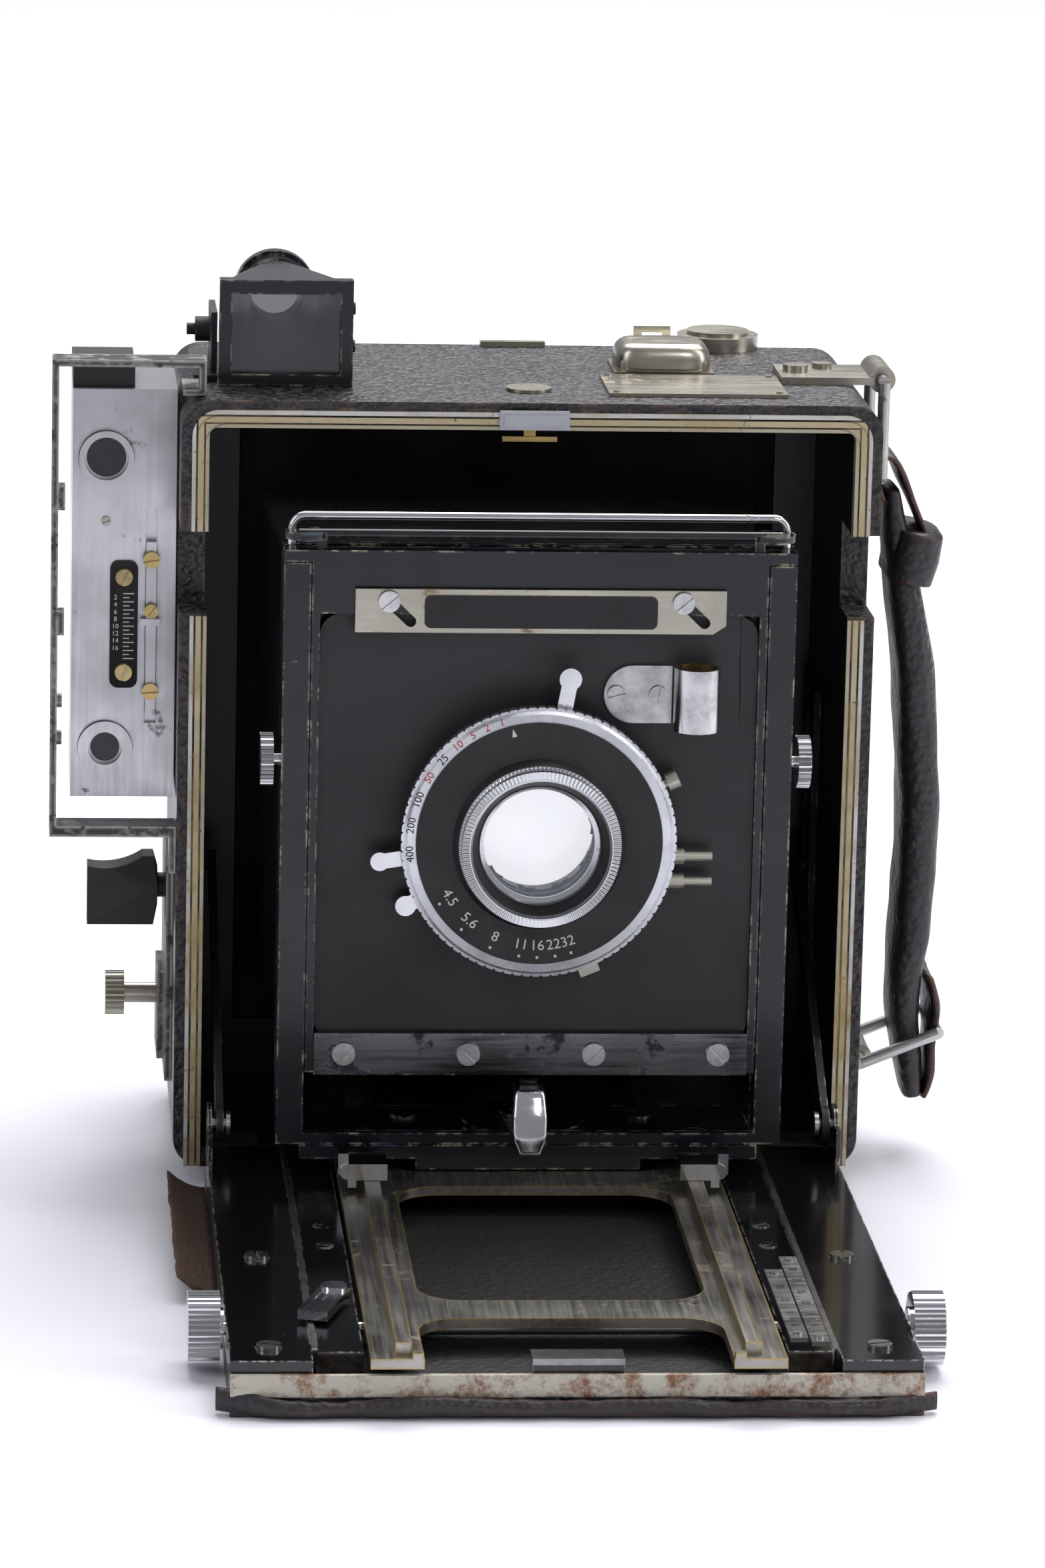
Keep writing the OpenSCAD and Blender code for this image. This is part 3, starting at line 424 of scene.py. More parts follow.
def lens_material():
    """Front element clear; the rear one glows weakly in the place of light through the open back."""
    t = Tree("lens_clear")
    x, y, z = t.xyz()
    back = t.ramp(t.mul(y, -1000.0), 80.0, 79.0)
    smear = t.noise(70, 4)
    t.set("Base Color", t.mix(back, (0.75, 0.8, 0.9), (0.95, 0.95, 0.97)))
    t.set("Roughness", t.ramp(smear, 0.35, 0.75, 0.03, 0.08))
    t.set("Alpha", t.mixf(back, 0.12, 1.0))
    t.put(t.b.inputs["Emission Color"], t.mix(t.ramp(smear, 0.3, 0.7), (0.93, 0.93, 1.0), (1, 1, 1)))
    t.put(t.b.inputs["Emission Strength"], t.mul(back, 0.82))
    t.b.inputs["IOR"].default_value = 1.6
    return t.m


def zones(key, name, rules):
    """A copy of a material with other metals in some places.

    Each rule is (mask builder, colour, roughness, metallic).
    """
    base = M[key].copy()
    base.name = name
    t = Tree.__new__(Tree)
    t.m, t.t = base, base.node_tree
    t.b = next(n for n in t.t.nodes if n.type == "BSDF_PRINCIPLED")
    t.co = t.n("ShaderNodeTexCoord").outputs["Object"]
    cur = {}
    for s in ("Base Color", "Roughness", "Metallic"):
        sock = t.b.inputs[s]
        cur[s] = sock.links[0].from_socket if sock.links else (tuple(sock.default_value)[:3]
            if s == "Base Color" else sock.default_value)
    x, y, z = t.xyz()
    for build, col, rough, met in rules:
        m = build(t, x, y, z)
        tone = t.mix(t.ramp(t.noise(120, 6, 0.7), 0.42, 0.62), col, tuple(c * 0.6 for c in col))
        cur["Base Color"] = t.mix(m, cur["Base Color"], tone)
        cur["Roughness"] = t.mixf(m, cur["Roughness"], rough)
        cur["Metallic"] = t.mixf(m, cur["Metallic"], met)
    for s, v in cur.items():
        t.set(s, v)
    return base


def beyond(axis, a, b, sign=1):
    """A mask that is 1 where sign times a coordinate, in mm, goes from a to past b."""
    return lambda t, x, y, z: t.ramp(t.mul((x, y, z)[axis], 1000.0 * sign), a, b)


def aside(a, b):
    """A mask that is 1 where the distance from the middle plane, in mm, goes from a to past b."""
    return lambda t, x, y, z: t.ramp(t.mul(t.math("ABSOLUTE", x), MM), a, b)


def both(*masks):
    """A mask where all the masks given are 1."""

    def build(t, x, y, z):
        out = masks[0](t, x, y, z)
        for k in masks[1:]:
            out = t.mul(out, k(t, x, y, z))
        return out
    return build


def disc(cx, cz, r):
    """A mask inside a circle seen from the front, in mm from the body's underside."""
    def build(t, x, y, z):
        dx = t.sub(x, cx / 1000)
        dz = t.sub(z, (cz + 4) / 1000)
        d = t.math("SQRT", t.add(t.mul(dx, dx), t.mul(dz, dz)))
        return t.ramp(d, (r + 0.1) / 1000, (r - 0.05) / 1000)
    return build


M["strip_zones"] = zones("strip", "strip_zones", [
    (beyond(2, 58, 59), (0.5, 0.5, 0.5), 0.25, 1.0),
    (both(beyond(2, 58, 59), beyond(0, 31.1, 31.3)), (0.46, 0.3, 0.12), 0.3, 1.0),
    (beyond(1, 79.95, 80.0, -1), (0.62, 0.62, 0.63), 0.2, 1.0),
])
M["plate_zones"] = zones("nickel", "plate_zones", [(beyond(1, 80.3, 80.4, -1), (0.012, 0.012, 0.014), 0.3,
    0.2)])
M["window_zones"] = zones("aluminium", "window_zones",
    [(disc(*place), DARK_GLASS, 0.06, 0.1) for place in ((-99.6, 170, 4.65), (-99.4, 100, 3.45))])
M["scale_zones"] = zones("black_dark", "scale_zones",
    [(disc(-95.2, h, 2.05), SCREW_BRASS, 0.3, 1.0) for h in (141.5, 118.5)]
    + [(disc(-99.6, 154.8, 1.15), (0.5, 0.48, 0.42), 0.3, 1.0)])
M["slider_zones"] = zones("aluminium", "slider_zones",
    [(disc(-88.8, h, r), SLIDER_BRASS, 0.3, 1.0) for h, r in ((145.8, 2.05), (114, 2.05), (133.6, 1.75))])
M["case_zones"] = zones("aluminium", "case_zones", [(beyond(2, 190.35, 190.45), (0.012, 0.012, 0.013),
    0.4, 0.1)])
M["bedmetal_zones"] = zones("enamel_bed", "bedmetal_zones", [
    (both(aside(55.95, 56.0), aside(57.25, 57.2), beyond(2, 12.05, 12.1)), (0.45, 0.45, 0.44), 0.3, 1.0),
    (both(beyond(2, 12.05, 12.1), aside(57.3, 57.35), beyond(2, 13.2, 13.1)), (0.42, 0.4, 0.36), 0.28,
        1.0),
    (both(aside(10.2, 10.1), beyond(2, 10.9, 11.0)), (0.3, 0.3, 0.3), 0.3, 1.0),
])
M["trim"] = trim_material()
M["board"] = board_material()
M["shutter"] = shutter_material()
M["ring"] = ring_material()
M["bed"] = bed_material()
M["lens"] = lens_material()
M["glass"] = clear_glass("finder_clear", (0.015, 0.018, 0.022), 0.42)
M["frost"] = clear_glass("frosted", (0.75, 0.78, 0.78), 0.85, 0.45)

use = {
    "leather_body": ["body_shell"],
    "trim": ["front_trim"],
    "steel": [
        "inner_rails", "strap_loops", "hinge_rod", "strut_pins", "bed_scales", "carriage_shoes",
        "tripod_plate",
    ],
    "brass": ["bed_latch", "finder_stops"],
    "black_dark": ["film_gate", "curtain_roller"],
    "scale_zones": ["rangefinder_scale"],
    "slider_zones": ["rangefinder_slider"],
    "case_zones": ["rangefinder_case"],
    "window_zones": ["rangefinder_windows"],
    "enamel_flat": [
        "back_frame", "hood_box", "finder_bracket", "strut_brackets", "strut_left", "strut_right",
    ],
    "frost": ["ground_glass"],
    "leather_door": ["hood_door"],
    "enamel": ["viewfinder_case", "standard_base", "standard_posts", "lens_frame"],
    "glass": ["viewfinder_glass"],
    "bracket": ["flash_bracket", "winding_plate"],
    "plate_zones": ["board_slide"],
    "plastic": ["winding_key"],
    "nickel": ["tension_knob", "table_plate", "release_dome", "dome_bail", "strap_lugs"],
    "bed": ["bed_panel"],
    "bedmetal_zones": ["bed_plates"],
    "chrome": [
        "bed_lock", "focus_shaft", "stop_left", "stop_right", "base_lever", "cocking_lever",
        "release_lever", "aperture_lever", "finder_wire", "side_knobs",
    ],
    "track": ["track"],
    "board": ["lens_board"],
    "strip_zones": ["board_clip"],
    "shutter": ["shutter_case"],
    "ring": ["speed_ring"],
    "lens": ["lens_glass"],
}
for key, names in use.items():
    for n in names:
        o = NODE[n]
        o.data.materials.clear()
        o.data.materials.append(M[key])
        for p in o.data.polygons:
            p.material_index = 0


# ---------------------------------------------------------------- mesh helpers
def make(name, verts, faces, mat, smooth=True):
    """A mesh object with one material and its faces turned outwards."""
    me = bpy.data.meshes.new(name)
    me.from_pydata([tuple(v) for v in verts], [], faces)
    me.materials.append(M[mat])
    bm = bmesh.new()
    bm.from_mesh(me)
    bmesh.ops.recalc_face_normals(bm, faces=bm.faces)
    bm.to_mesh(me)
    bm.free()
    for p in me.polygons:
        p.use_smooth = smooth
    o = bpy.data.objects.new(name, me)
    bpy.context.scene.collection.objects.link(o)
    return o


def sleeve(rows, n):
    """Quads that join rows + 1 closed rings of n points."""
    quads = []
    for i in range(rows):
        for j in range(n):
            k = (j + 1) % n
            quads.append((i * n + j, i * n + k, (i + 1) * n + k, (i + 1) * n + j))
    return quads


def tube_sheet(name, rings, mat):
    """Closed rings of points joined into a sleeve."""
    n = len(rings[0])
    verts = [p for r in rings for p in r]
    return make(name, verts, sleeve(len(rings) - 1, n), mat, smooth=False)


def rounded(half_w, half_h, r, steps=4):
    """The corners of a rectangle with rounded corners, as points round its middle."""
    pts = []
    for cx, cy, a0 in ((1, 1, 0), (-1, 1, 90), (-1, -1, 180), (1, -1, 270)):
        for k in range(steps + 1):
            a = math.radians(a0 + 90 * k / steps)
            pts.append((cx * (half_w - r) + r * math.cos(a), cy * (half_h - r) + r * math.sin(a)))
    return pts


def pleated(name, y0, y1, w0, w1, h0, h1, zc, folds, depth):
    """A bellows section with sharp pleats from y0 to y1, in mm; the half sizes go from w0, h0 to w1, h1."""
    rings = []
    for i in range(2 * folds + 1):
        f = i / (2 * folds)
        inset = depth if i % 2 else 0.0
        jit = 0.25 * noise.noise(Vector((i * 3.1, y0, 0.5)))
        w, h = w0 + (w1 - w0) * f - inset, h0 + (h1 - h0) * f - inset
        y = y0 + (y1 - y0) * f + (jit if 0 < i < 2 * folds else 0)
        ring = [R(px, y, zc + pz) for px, pz in rounded(w, h, 7 if i % 2 else 3.2)]
        rings.append(ring)
    o = tube_sheet(name, rings, "cloth_black")
    area = sum(p.area for p in o.data.polygons)
    around = 2 * (w0 + w1 + h0 + h1) / 1000
    mod = o.modifiers.new("thick", "SOLIDIFY")
    mod.thickness, mod.offset = 0.0006, -1
    bpy.context.view_layer.objects.active = o
    dg = bpy.context.evaluated_depsgraph_get()
    me = bpy.data.meshes.new_from_object(o.evaluated_get(dg))
    o.modifiers.clear()
    o.data = me
    return o, (around, area / around)


rear, rear_flat = pleated("bellows_rear_pleats", 74.0, 10.0, 61.0, 55.0, 61.5, 57.0, LENS_Z, 15, 4.2)
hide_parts("bellows_rear")
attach(rear, "body")
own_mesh(rear)
front, front_flat = pleated("bellows_front_pleats", 34.0, -19.6, 50.5, 47.0, 52.0, 48.5, LENS_Z, 12, 3.4)
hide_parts("bellows_front")
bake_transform(front)


# ---------------------------------------------------------------- hand strap
def band(name, path, widths, thick, y_mid, mat, seg=18, wob=0.0, close=True):
    """A padded band with its width along Y, swept along a path of (x, z) in mm."""
    pts = []
    for i in range(len(path) - 1):
        p0 = path[max(i - 1, 0)]
        p1, p2 = path[i], path[i + 1]
        p3 = path[min(i + 2, len(path) - 1)]
        for k in range(8):
            u = k / 8
            pts.append(tuple(0.5 * ((2 * p1[a]) + (p2[a] - p0[a]) * u
                + (2 * p0[a] - 5 * p1[a] + 4 * p2[a] - p3[a]) * u * u
                + (3 * p1[a] - p0[a] - 3 * p2[a] + p3[a]) * u ** 3) for a in (0, 1)))
    pts.append(tuple(path[-1]))
    n = len(pts)
    rings = []
    for i, (x, z) in enumerate(pts):
        a, b = pts[max(i - 1, 0)], pts[min(i + 1, n - 1)]
        d = Vector((b[0] - a[0], b[1] - a[1])).normalized()
        nx, nz = d.y, -d.x
        f = i / (n - 1) * (len(widths) - 1)
        k = min(int(f), len(widths) - 2)
        w = widths[k] + (widths[k + 1] - widths[k]) * (f - k)
        t = thick[k] + (thick[k + 1] - thick[k]) * (f - k)
        ring = []
        for s in range(seg):
            ang = 2 * math.pi * s / seg
            cu, su = math.cos(ang), math.sin(ang)
            u = math.copysign(abs(cu) ** 0.45, cu) * w / 2
            v = math.copysign(abs(su) ** 0.7, su) * t / 2
            j = wob * noise.noise(Vector((x * 0.09, u * 0.12, z * 0.09)))
            ring.append(R(x + nx * (v + j), y_mid + u, z + nz * (v + j)))
        rings.append(ring)
    m = len(rings[0])
    verts = [p for r in rings for p in r]
    faces = sleeve(n - 1, m)
    faces += [tuple(range(m)), tuple((n - 1) * m + j for j in range(m))]
    return make(name, verts, faces, mat)


strap = band("strap_handle", [(89.6, 161), (91.2, 150), (94.2, 134), (96.8, 116), (98.6, 96), (99.2, 78),
    (98.8, 60), (97.6, 44), (97.2, 32), (98.6, 20), (100.0, 10)],
             [19, 21, 23, 24, 24, 24, 24, 23, 22, 20, 17], [3.4, 6.2, 8.2, 9.4, 9.6, 9.6, 9.2, 8.4, 7.4,
                 6.4, 4.4], STRAP_Y, "leather_strap", 22, 0.6)
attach(strap, "body")
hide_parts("strap")
tongue = band("strap_tongue", [(87.4, 159), (86.2, 163.2), (86.4, 168.2), (89.6, 168.8), (93.2, 162),
    (96.6, 154), (98.8, 147), (100.2, 141)],
              [19, 19, 19, 19, 18, 16, 13, 7], [1.8, 1.8, 1.8, 1.8, 1.8, 1.7, 1.6,
                  1.2], STRAP_Y, "leather_strap", 14, 0.5)
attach(tongue, "body")
hank = band("strap_keeper", [(96.6, 151), (95.4, 145), (94.4, 139)], [27.5, 28, 27.5], [11.6, 12.4, 11.2],
    STRAP_Y, "leather_strap", 18, 0.6)
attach(hank, "body")
tail = band("strap_tail", [(103.0, 40), (104.2, 34), (104.6, 26), (103.9, 17), (102.6, 9.5)],
    [20, 21, 21, 20, 15], [2.0, 2.6, 3.0, 2.8, 1.4], STRAP_Y, "leather_strap", 14, 1.6)
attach(tail, "body")


# ---------------------------------------------------------------- loose leather on the bed
def leather_lip():
    """The covering's thick edge below the bed's front, lifted and torn at the left corner."""
    verts = []
    nx, ns = 150, 10
    for i in range(nx + 1):
        x = -78 + 156 * i / nx
        corner = max(0.0, (abs(x) - 66) / 12)
        lift = 1.2 * noise.noise(Vector((x * 0.045, 3.3, 0))) + 0.35 * noise.noise(Vector((x * 0.4, 1.3,
            0)))
        torn = max(0.0, (-x - 64) / 14)
        for s in range(ns):
            a = 2 * math.pi * s / ns
            out = 1.5 * math.cos(a) - 176.6 + corner * 4.2 + 0.7 * noise.noise(Vector((x * 0.09, 0,
                s * 0.3)))
            zz = -1.6 + 1.9 * math.sin(a) + (lift + torn * 1.2) * (1 if math.sin(a) > 0 else 0.1)
            verts.append(R(x, out, max(zz, -3.9)))
    faces = sleeve(nx, ns)
    faces += [tuple(range(ns)), tuple(nx * ns + s for s in range(ns))]
    o = make("bed_leather_edge", verts, faces, "leather_strap")
    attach(o, "bed")
    return o


leather_lip()


def leather_flap():
    """The strip of covering that has come away along the bed's left side, flesh side up."""
    verts, faces = [], []
    nl, nw = 60, 8
    for side in (0, 1):
        for i in range(nl + 1):
            y = -8 - 84 * i / nl
            curl = 1.6 * noise.noise(Vector((y * 0.03, 2.0, 0.7)))
            for j in range(nw + 1):
                u = j / nw
                wide = 9.0 + 0.8 * noise.noise(Vector((y * 0.12, 9.0, 0)))
                x = -75.2 - wide * u
                z = -2.6 + (4.2 + curl) * u * u + (0 if side else 1.2)
                verts.append(R(x, y + (0.9 * noise.noise(Vector((u * 4, y, 5))) if i in (0, nl) else 0),
                    z))
    m = (nl + 1) * (nw + 1)
    for i in range(nl):
        for j in range(nw):
            a = i * (nw + 1) + j
            faces.append((a, a + 1, a + nw + 2, a + nw + 1))
            faces.append((m + a, m + a + nw + 1, m + a + nw + 2, m + a + 1))
    for i in range(nl):
        for j in (0, nw):
            a, b = i * (nw + 1) + j, (i + 1) * (nw + 1) + j
            faces.append((a, b, m + b, m + a))
    for j in range(nw):
        for i in (0, nl):
            a, b = i * (nw + 1) + j, i * (nw + 1) + j + 1
            faces.append((a, b, m + b, m + a))
    o = make("bed_leather_flap", verts, faces, "leather_flesh")
    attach(o, "bed")
    return o


leather_flap()


# ---------------------------------------------------------------- figures and marks
def facing(origin, right, up):
    """The matrix of a flat piece at origin, given its right and up directions."""
    right, up = Vector(right).normalized(), Vector(up).normalized()
    out = right.cross(up)
    m = Matrix((right, up, out)).transposed().to_4x4()
    m.translation = origin
    return m


def lettering(name, items, body, mat, thick=0.00003):
    """Generic figures as one mesh piece; items are (text, matrix, height in metres)."""
    bm = bmesh.new()
    for text, mat4, size in items:
        cu = bpy.data.curves.new("tmp_text", "FONT")
        cu.body, cu.size, cu.align_x, cu.align_y, cu.extrude = text, size, "CENTER", "CENTER", thick
        cu.resolution_u = 3
        ob = bpy.data.objects.new("tmp_text", cu)
        bpy.context.scene.collection.objects.link(ob)
        bpy.context.view_layer.update()
        me = bpy.data.meshes.new_from_object(ob.evaluated_get(bpy.context.evaluated_depsgraph_get()))
        me.transform(mat4)
        bm.from_mesh(me)
        bpy.data.objects.remove(ob)
        bpy.data.curves.remove(cu)
        bpy.data.meshes.remove(me)
    me = bpy.data.meshes.new(name)
    bm.to_mesh(me)
    bm.free()
    me.materials.clear()
    me.materials.append(M[mat])
    o = bpy.data.objects.new(name, me)
    bpy.context.scene.collection.objects.link(o)
    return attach(o, body)


def bars(name, items, body, mat):
    """Small raised marks: boxes, each given as a corner and three edges."""
    verts, faces = [], []
    for p, a, b, c in items:
        k = len(verts)
        for i in (0, 1):
            for j in (0, 1):
                for l in (0, 1):
                    verts.append(Vector(p) + Vector(a) * i + Vector(b) * j + Vector(c) * l)
        faces += [tuple(k + q for q in f) for f in ((0, 1, 3, 2), (4, 6, 7, 5), (0, 4, 5, 1),
            (2, 3, 7, 6), (0, 2, 6, 4), (1, 5, 7, 3))]
    o = make(name, verts, faces, mat, smooth=False)
    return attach(o, body)


def clock(angle, radius, y):
    """A place on the shutter's front: angle in degrees clockwise from the top, seen from the front."""
    a = math.radians(angle)
    p = R(radius * math.sin(a), y, LENS_Z + radius * math.cos(a))
    return p, Vector((math.cos(a), 0, -math.sin(a))), Vector((math.sin(a), 0, math.cos(a)))


def shutter_figures():
    """Speeds round the ring, stops and dots below, and the wedge that marks the setting."""
    ring_y, face_y = -42.0 - 0.06, -42.4 - 0.05
    speeds = [("1", -18, 1), ("2", -25, 1), ("5", -32, 1), ("10", -40, 1), ("25", -49, 0), ("50", -59, 1),
        ("100", -70, 0), ("200", -82, 0), ("400", -95, 0)]
    black_items, red_items = [], []
    for text, ang, red in speeds:
        p, right, up = clock(ang, 30.05, ring_y)
        (red_items if red else black_items).append((text, facing(p, right, up), 0.0026))
    lettering("speed_figures", black_items, "speed_ring", "ink_black")
    lettering("speed_figures_red", red_items, "speed_ring", "ink_red")
    stops = [("4.5", -122), ("5.6", -139), ("8", -156), ("11", -171), ("16", -180), ("22", -189),
        ("32", -197)]
    items = []
    for text, ang in stops:
        p, right, up = clock(ang, 24.2, face_y)
        items.append((text, facing(p, -right, -up), 0.0034))
    lettering("aperture_figures", items, "lens_frame", "ink_white")
    dots = []
    for text, ang in stops:
        p, right, up = clock(ang, 27.0, face_y)
        dots.append((p - right * 0.0003 - up * 0.0003, right * 0.0006, up * 0.0006,
            MARK))
    for i in range(7):
        p, right, up = clock(-14 + i * 0.01, 27.6 - i * 0.25, face_y)
        w = 0.0011 * (i + 1) / 7
        dots.append((p - right * w / 2, right * w, up * 0.00026, MARK))
    bars("aperture_marks", dots, "lens_frame", "ink_white")


shutter_figures()


def distance_scale():
    """Figures and ticks on the rangefinder's scale."""
    scale_y = 16.93
    items, marks = [], []
    for i, text in enumerate(["2", "4", "6", "8", "10", "12", "14", "16"]):
        items.append((text, facing(R(-97.2, scale_y, 136.6 - i * 1.75), (1, 0, 0), (0, 0, 1)), 0.0016))
    lettering("distance_figures", items, "body", "ink_white")
    for i in range(17):
        z = 137.4 - i * 0.98
        long = 2.6 if i % 2 == 0 else 1.5
        marks.append((R(-95.4, scale_y, z), Vector((long / 1000, 0, 0)), Vector((0, 0, 0.00022)),
            MARK))
    bars("distance_marks", marks, "body", "ink_white")


distance_scale()


def bed_scale():
    """Figures and ticks of the two focusing scales."""
    items = []
    for i, text in enumerate(["6", "8", "10", "15", "25", "50"]):
        items.append((text, facing(R(53.8, -150 + i * 8.4, 8.53), (0, -1, 0), (1, 0, 0)), 0.0028))
    for i, text in enumerate(["6", "8", "12", "25"]):
        items.append((text, facing(R(49.4, -150 + i * 9.5, 8.53), (0, -1, 0), (1, 0, 0)), 0.0026))
    lettering("bed_figures", items, "bed", "ink_black")
    marks = []
    for i in range(22):
        marks.append((R(51.9, -155 + i * 2.4, 8.5), Vector((0.0008 if i % 3 else 0.0015, 0, 0)),
            Vector((0, 0.00018, 0)), Vector((0, 0, 0.00004))))
    bars("bed_marks", marks, "bed", "ink_black")


bed_scale()


# ---------------------------------------------------------------- iris and inner rings of the lens
def iris():
    """Ten thin leaves round a wide open aperture, inside the lens barrel."""
    verts, faces = [], []
    count = 10
    for i in range(count):
        a0 = 2 * math.pi * i / count
        k = len(verts)
        for q in range(13):
            a = a0 + 2 * math.pi * 1.5 / count * q / 12
            ri = 12.6 + 0.7 * math.sin(math.pi * q / 12)
            y = -32.5 + 0.35 * q / 12
            for r in (ri, LEAF_R):
                for dy in (0.0, 0.08):
                    verts.append(R(r * math.sin(a), y + dy, LENS_Z + r * math.cos(a)))
        for q in range(12):
            b = k + q * 4
            faces += [(b, b + 4, b + 6, b + 2), (b + 1, b + 3, b + 7, b + 5), (b, b + 1, b + 5, b + 4),
                (b + 2, b + 6, b + 7, b + 3)]
        faces += [(k, k + 2, k + 3, k + 1), (k + 48, k + 49, k + 51, k + 50)]
    o = make("iris_leaves", verts, faces, "enamel_flat")
    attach(o, "lens_frame")


iris()


def turned(name, profile, centre, mat, body, seg=96):
    """A ring turned about an axis along Y; profile is (radius, y) in mm, closed."""
    verts, faces = [], []
    n = len(profile)
    for s in range(seg):
        a = 2 * math.pi * s / seg
        for r, y in profile:
            verts.append(R(centre[0] + r * math.sin(a), y, centre[1] + r * math.cos(a)))
    for s in range(seg):
        for i in range(n):
            faces.append((s * n + i, s * n + (i + 1) % n, ((s + 1) % seg) * n + (i + 1) % n,
                ((s + 1) % seg) * n + i))
    o = make(name, verts, faces, mat, smooth=False)
    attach(o, body)
    return o


turned("lens_retainer", [(14.0, -42.2), (12.9, -41.9), (12.9, -41.3), (13.4, -40.8), (14.0, -40.8)],
    (0, LENS_Z), "chrome", "lens_frame")
turned("barrel_ring", [(14.0, -37.5), (13.1, -37.2), (13.1, -36.6), (14.0, -36.2)], (0, LENS_Z),
    "enamel_flat", "lens_frame")
turned("finder_eyecup", [(6.2, 88.0), (9.6, 88.4), (10.0, 88.2), (9.9, 87.2), (6.4, 87.0)], (-57.5, 200),
    "plastic", "body")


def arched_lever():
    """The chrome lever in front of the pivot disc: a band bent over in an arch, with a rounded tip."""
    path = [(-12, 17.6), (-12.4, 22), (-13.6, 26.6), (-17.2, 30.4), (-22.5, 31.6), (-28.0, 31.0),
        (-32.2, 28.0), (-34.4, 23.4), (-35.4, 18.6), (-35.8, 14.6)]
    half = [2.4, 2.4, 2.5, 2.7, 3.0, 3.3, 3.7, 4.0, 3.9, 2.6]
    verts = []
    seg = 16
    fine = []
    for i in range(len(path) - 1):
        for k in range(5):
            u = k / 5
            e = u * u * (3 - 2 * u)
            fine.append((path[i][0] + (path[i + 1][0] - path[i][0]) * u, path[i][1]
                + (path[i + 1][1] - path[i][1]) * u, half[i] + (half[i + 1] - half[i]) * e))
    fine.append((*path[-1], half[-1]))
    for i, (y, z, w) in enumerate(fine):
        a, b = fine[max(i - 1, 0)], fine[min(i + 1, len(fine) - 1)]
        d = Vector((b[0] - a[0], b[1] - a[1])).normalized()
        for s in range(seg):
            g = 2 * math.pi * s / seg
            u = math.copysign(abs(math.cos(g)) ** 0.6, math.cos(g)) * w
            v = math.copysign(abs(math.sin(g)) ** 0.8, math.sin(g)) * 0.9
            verts.append(R(u, y - d.y * v, z + d.x * v))
    n = len(fine)
    faces = sleeve(n - 1, seg)
    faces += [tuple(range(seg)), tuple((n - 1) * seg + s for s in range(seg))]
    o = make("base_lever_arch", verts, faces, "chrome")
    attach(o, "base_lever")
    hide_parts("base_lever")


arched_lever()


def release_shell():
    """The pressed nickel dome over the release on the top."""
    verts = []
    rows, seg = 14, 56
    for i in range(rows + 1):
        f = i / rows
        k = 1 - 0.34 * f ** 3.2 if f < 0.8 else (1 - 0.34 * 0.8 ** 3.2) * math.sqrt(max(0.0,
            1 - ((f - 0.8) / 0.2) ** 2.2))
        z = 187.95 + 6.5 * (1 - (1 - f) ** 1.6)
        for s in range(seg):
            a = 2 * math.pi * s / seg
            cu, su = math.cos(a), math.sin(a)
            x = 34.5 + math.copysign(abs(cu) ** 0.5, cu) * 11.6 * k
            y = 50.5 + math.copysign(abs(su) ** 0.5, su) * 9.6 * k
            verts.append(R(x, y, z))
    faces = sleeve(rows, seg)
    faces.append(tuple(range(seg)))
    o = make("release_shell", verts, faces, "nickel")
    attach(o, "body")


release_shell()

# ---------------------------------------------------------------- floor, light, camera

def studio():
    """The paper that the camera stands on."""
    half, below = 9.0, 0.0002  # clear of the feet, so that the two faces never share a plane
    verts = [(x, y, -below) for y in (-half, half) for x in (-half, half)]
    me = bpy.data.meshes.new("studio_floor")
    me.from_pydata(verts, [], [(0, 1, 3, 2)])
    t = Tree("paper")
    t.set("Base Color", t.mix(t.ramp(t.noise(3, 2), 0.3, 0.7), (0.86, 0.86, 0.91), (0.83, 0.83, 0.89)))
    t.set("Roughness", 0.75)
    t.set("Normal", t.bump(t.noise(500, 3), 0.00003, 0.3))
    me.materials.append(t.m)
    for p in me.polygons:
        p.use_smooth = True
    o = bpy.data.objects.new("studio_floor", me)
    bpy.context.scene.collection.objects.link(o)


studio()


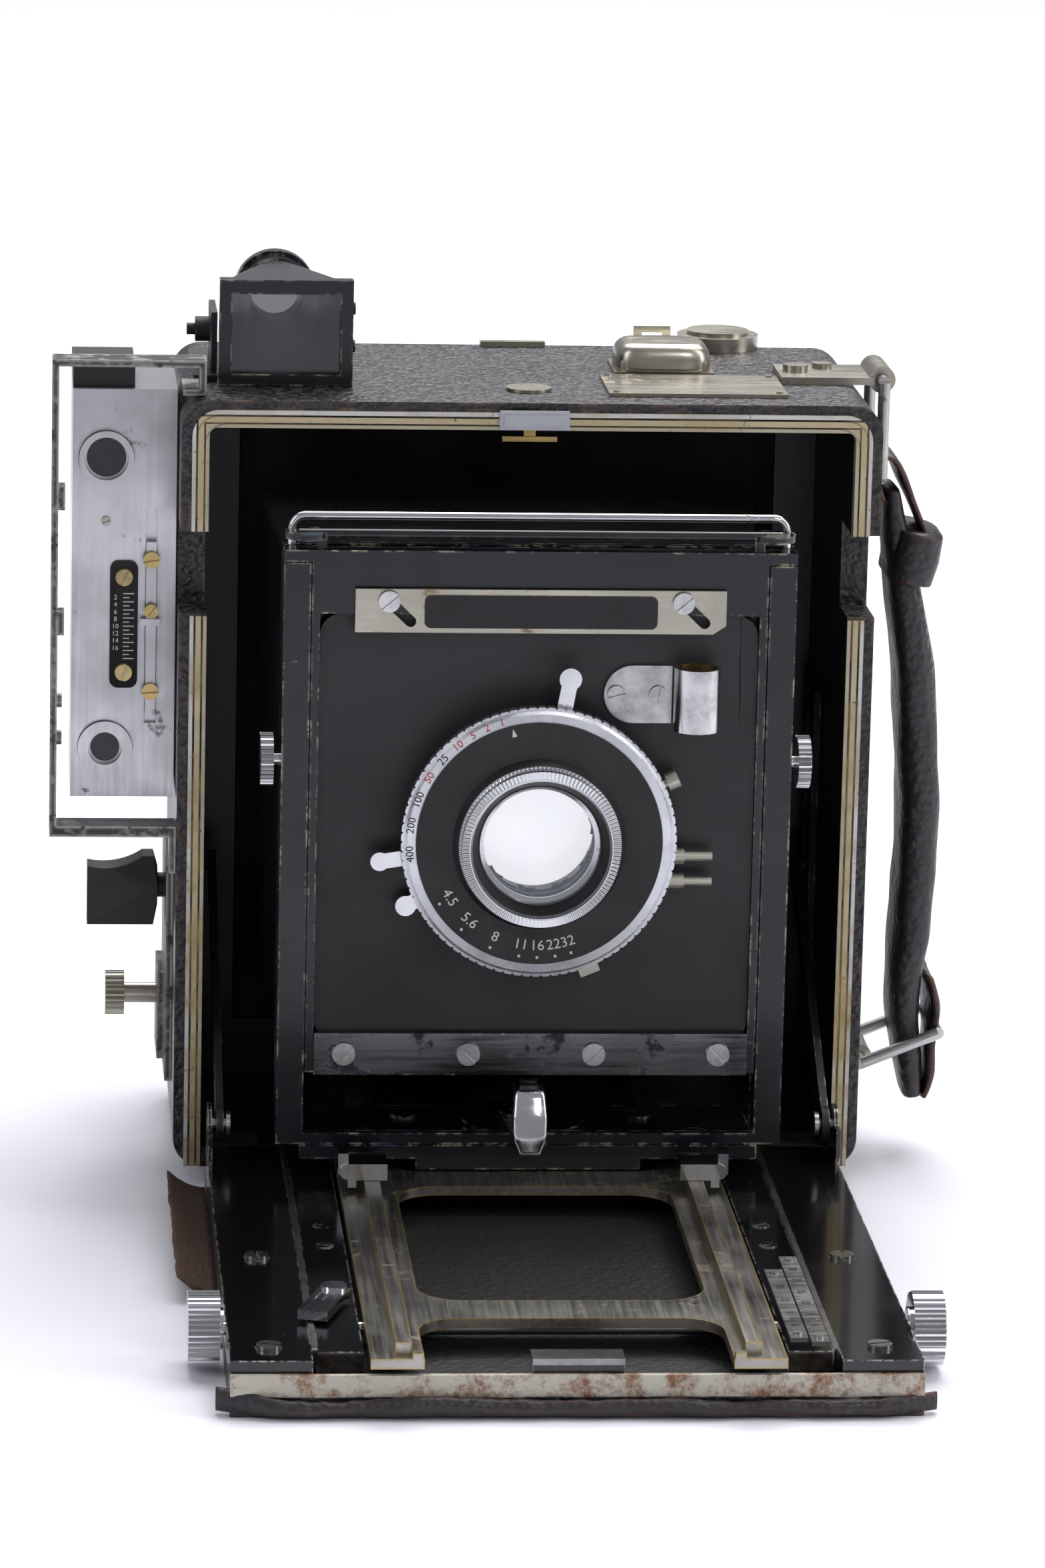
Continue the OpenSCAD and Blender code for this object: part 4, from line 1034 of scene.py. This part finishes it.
def area(name, loc, target, size, power, color=(1, 1, 1), size_y=None):
    """An area light at loc, aimed at target, in metres and watts."""
    li = bpy.data.lights.new(name, "AREA")
    li.energy, li.size, li.color = power, size, color
    if size_y:
        li.shape, li.size_y = "RECTANGLE", size_y
    o = bpy.data.objects.new(name, li)
    bpy.context.scene.collection.objects.link(o)
    o.location = loc
    o.visible_camera = False
    o.rotation_mode = "QUATERNION"
    o.rotation_quaternion = (Vector(target) - Vector(loc)).to_track_quat("-Z", "Y")


area("top_soft", (0.3, 0.55, 1.5), (0, 0.05, 0.1), 1.3, 22, (1, 0.99, 1.0))
area("right_strip", (1.1, -0.35, 0.7), (0, -0.05, 0.1), 0.35, 6.5, (1, 1, 1), 1.2)
area("left_soft", (-1.1, -0.6, 0.75), (0, -0.05, 0.1), 0.5, 3.6, (0.97, 0.98, 1), 1.0)
area("front_low", (0.55, -1.5, 1.0), (0, 0, 0.1), 0.4, 3.4, (1, 1, 1))
area("backdrop", (0.2, 2.2, 2.2), (0.2, 2.4, 0.0), 2.6, 62, (0.97, 0.97, 1))


def world():
    """An even grey surround that fills the shadows."""
    w = bpy.data.worlds.new("studio")
    w.use_nodes = True
    w.node_tree.nodes["Background"].inputs[0].default_value = (0.93, 0.93, 1.0, 1)
    w.node_tree.nodes["Background"].inputs[1].default_value = 0.33
    bpy.context.scene.world = w
    bpy.context.scene.view_settings.view_transform = "Standard"


world()


def camera():
    """The camera, seen from slightly left and above; angles in radians, lens in mm."""
    yaw, pitch, roll = 0.082215, 0.222957, 0.023226
    fwd = Vector((math.sin(yaw) * math.cos(pitch), math.cos(yaw) * math.cos(pitch), -math.sin(pitch)))
    right = Vector((math.cos(yaw), -math.sin(yaw), 0))
    up = right.cross(fwd)
    r2 = right * math.cos(roll) + up * math.sin(roll)
    u2 = -right * math.sin(roll) + up * math.cos(roll)
    cam = bpy.data.cameras.new("camera")
    cam.sensor_fit = "AUTO"
    cam.sensor_width = 36
    cam.lens = 155.3
    cam.clip_start, cam.clip_end = 0.05, 20
    co = bpy.data.objects.new("camera", cam)
    bpy.context.scene.collection.objects.link(co)
    m = Matrix((r2, u2, -fwd)).transposed().to_4x4()
    m.translation = R(-129.2, -1558.3, 450.1)
    co.matrix_world = m
    bpy.context.scene.camera = co


camera()
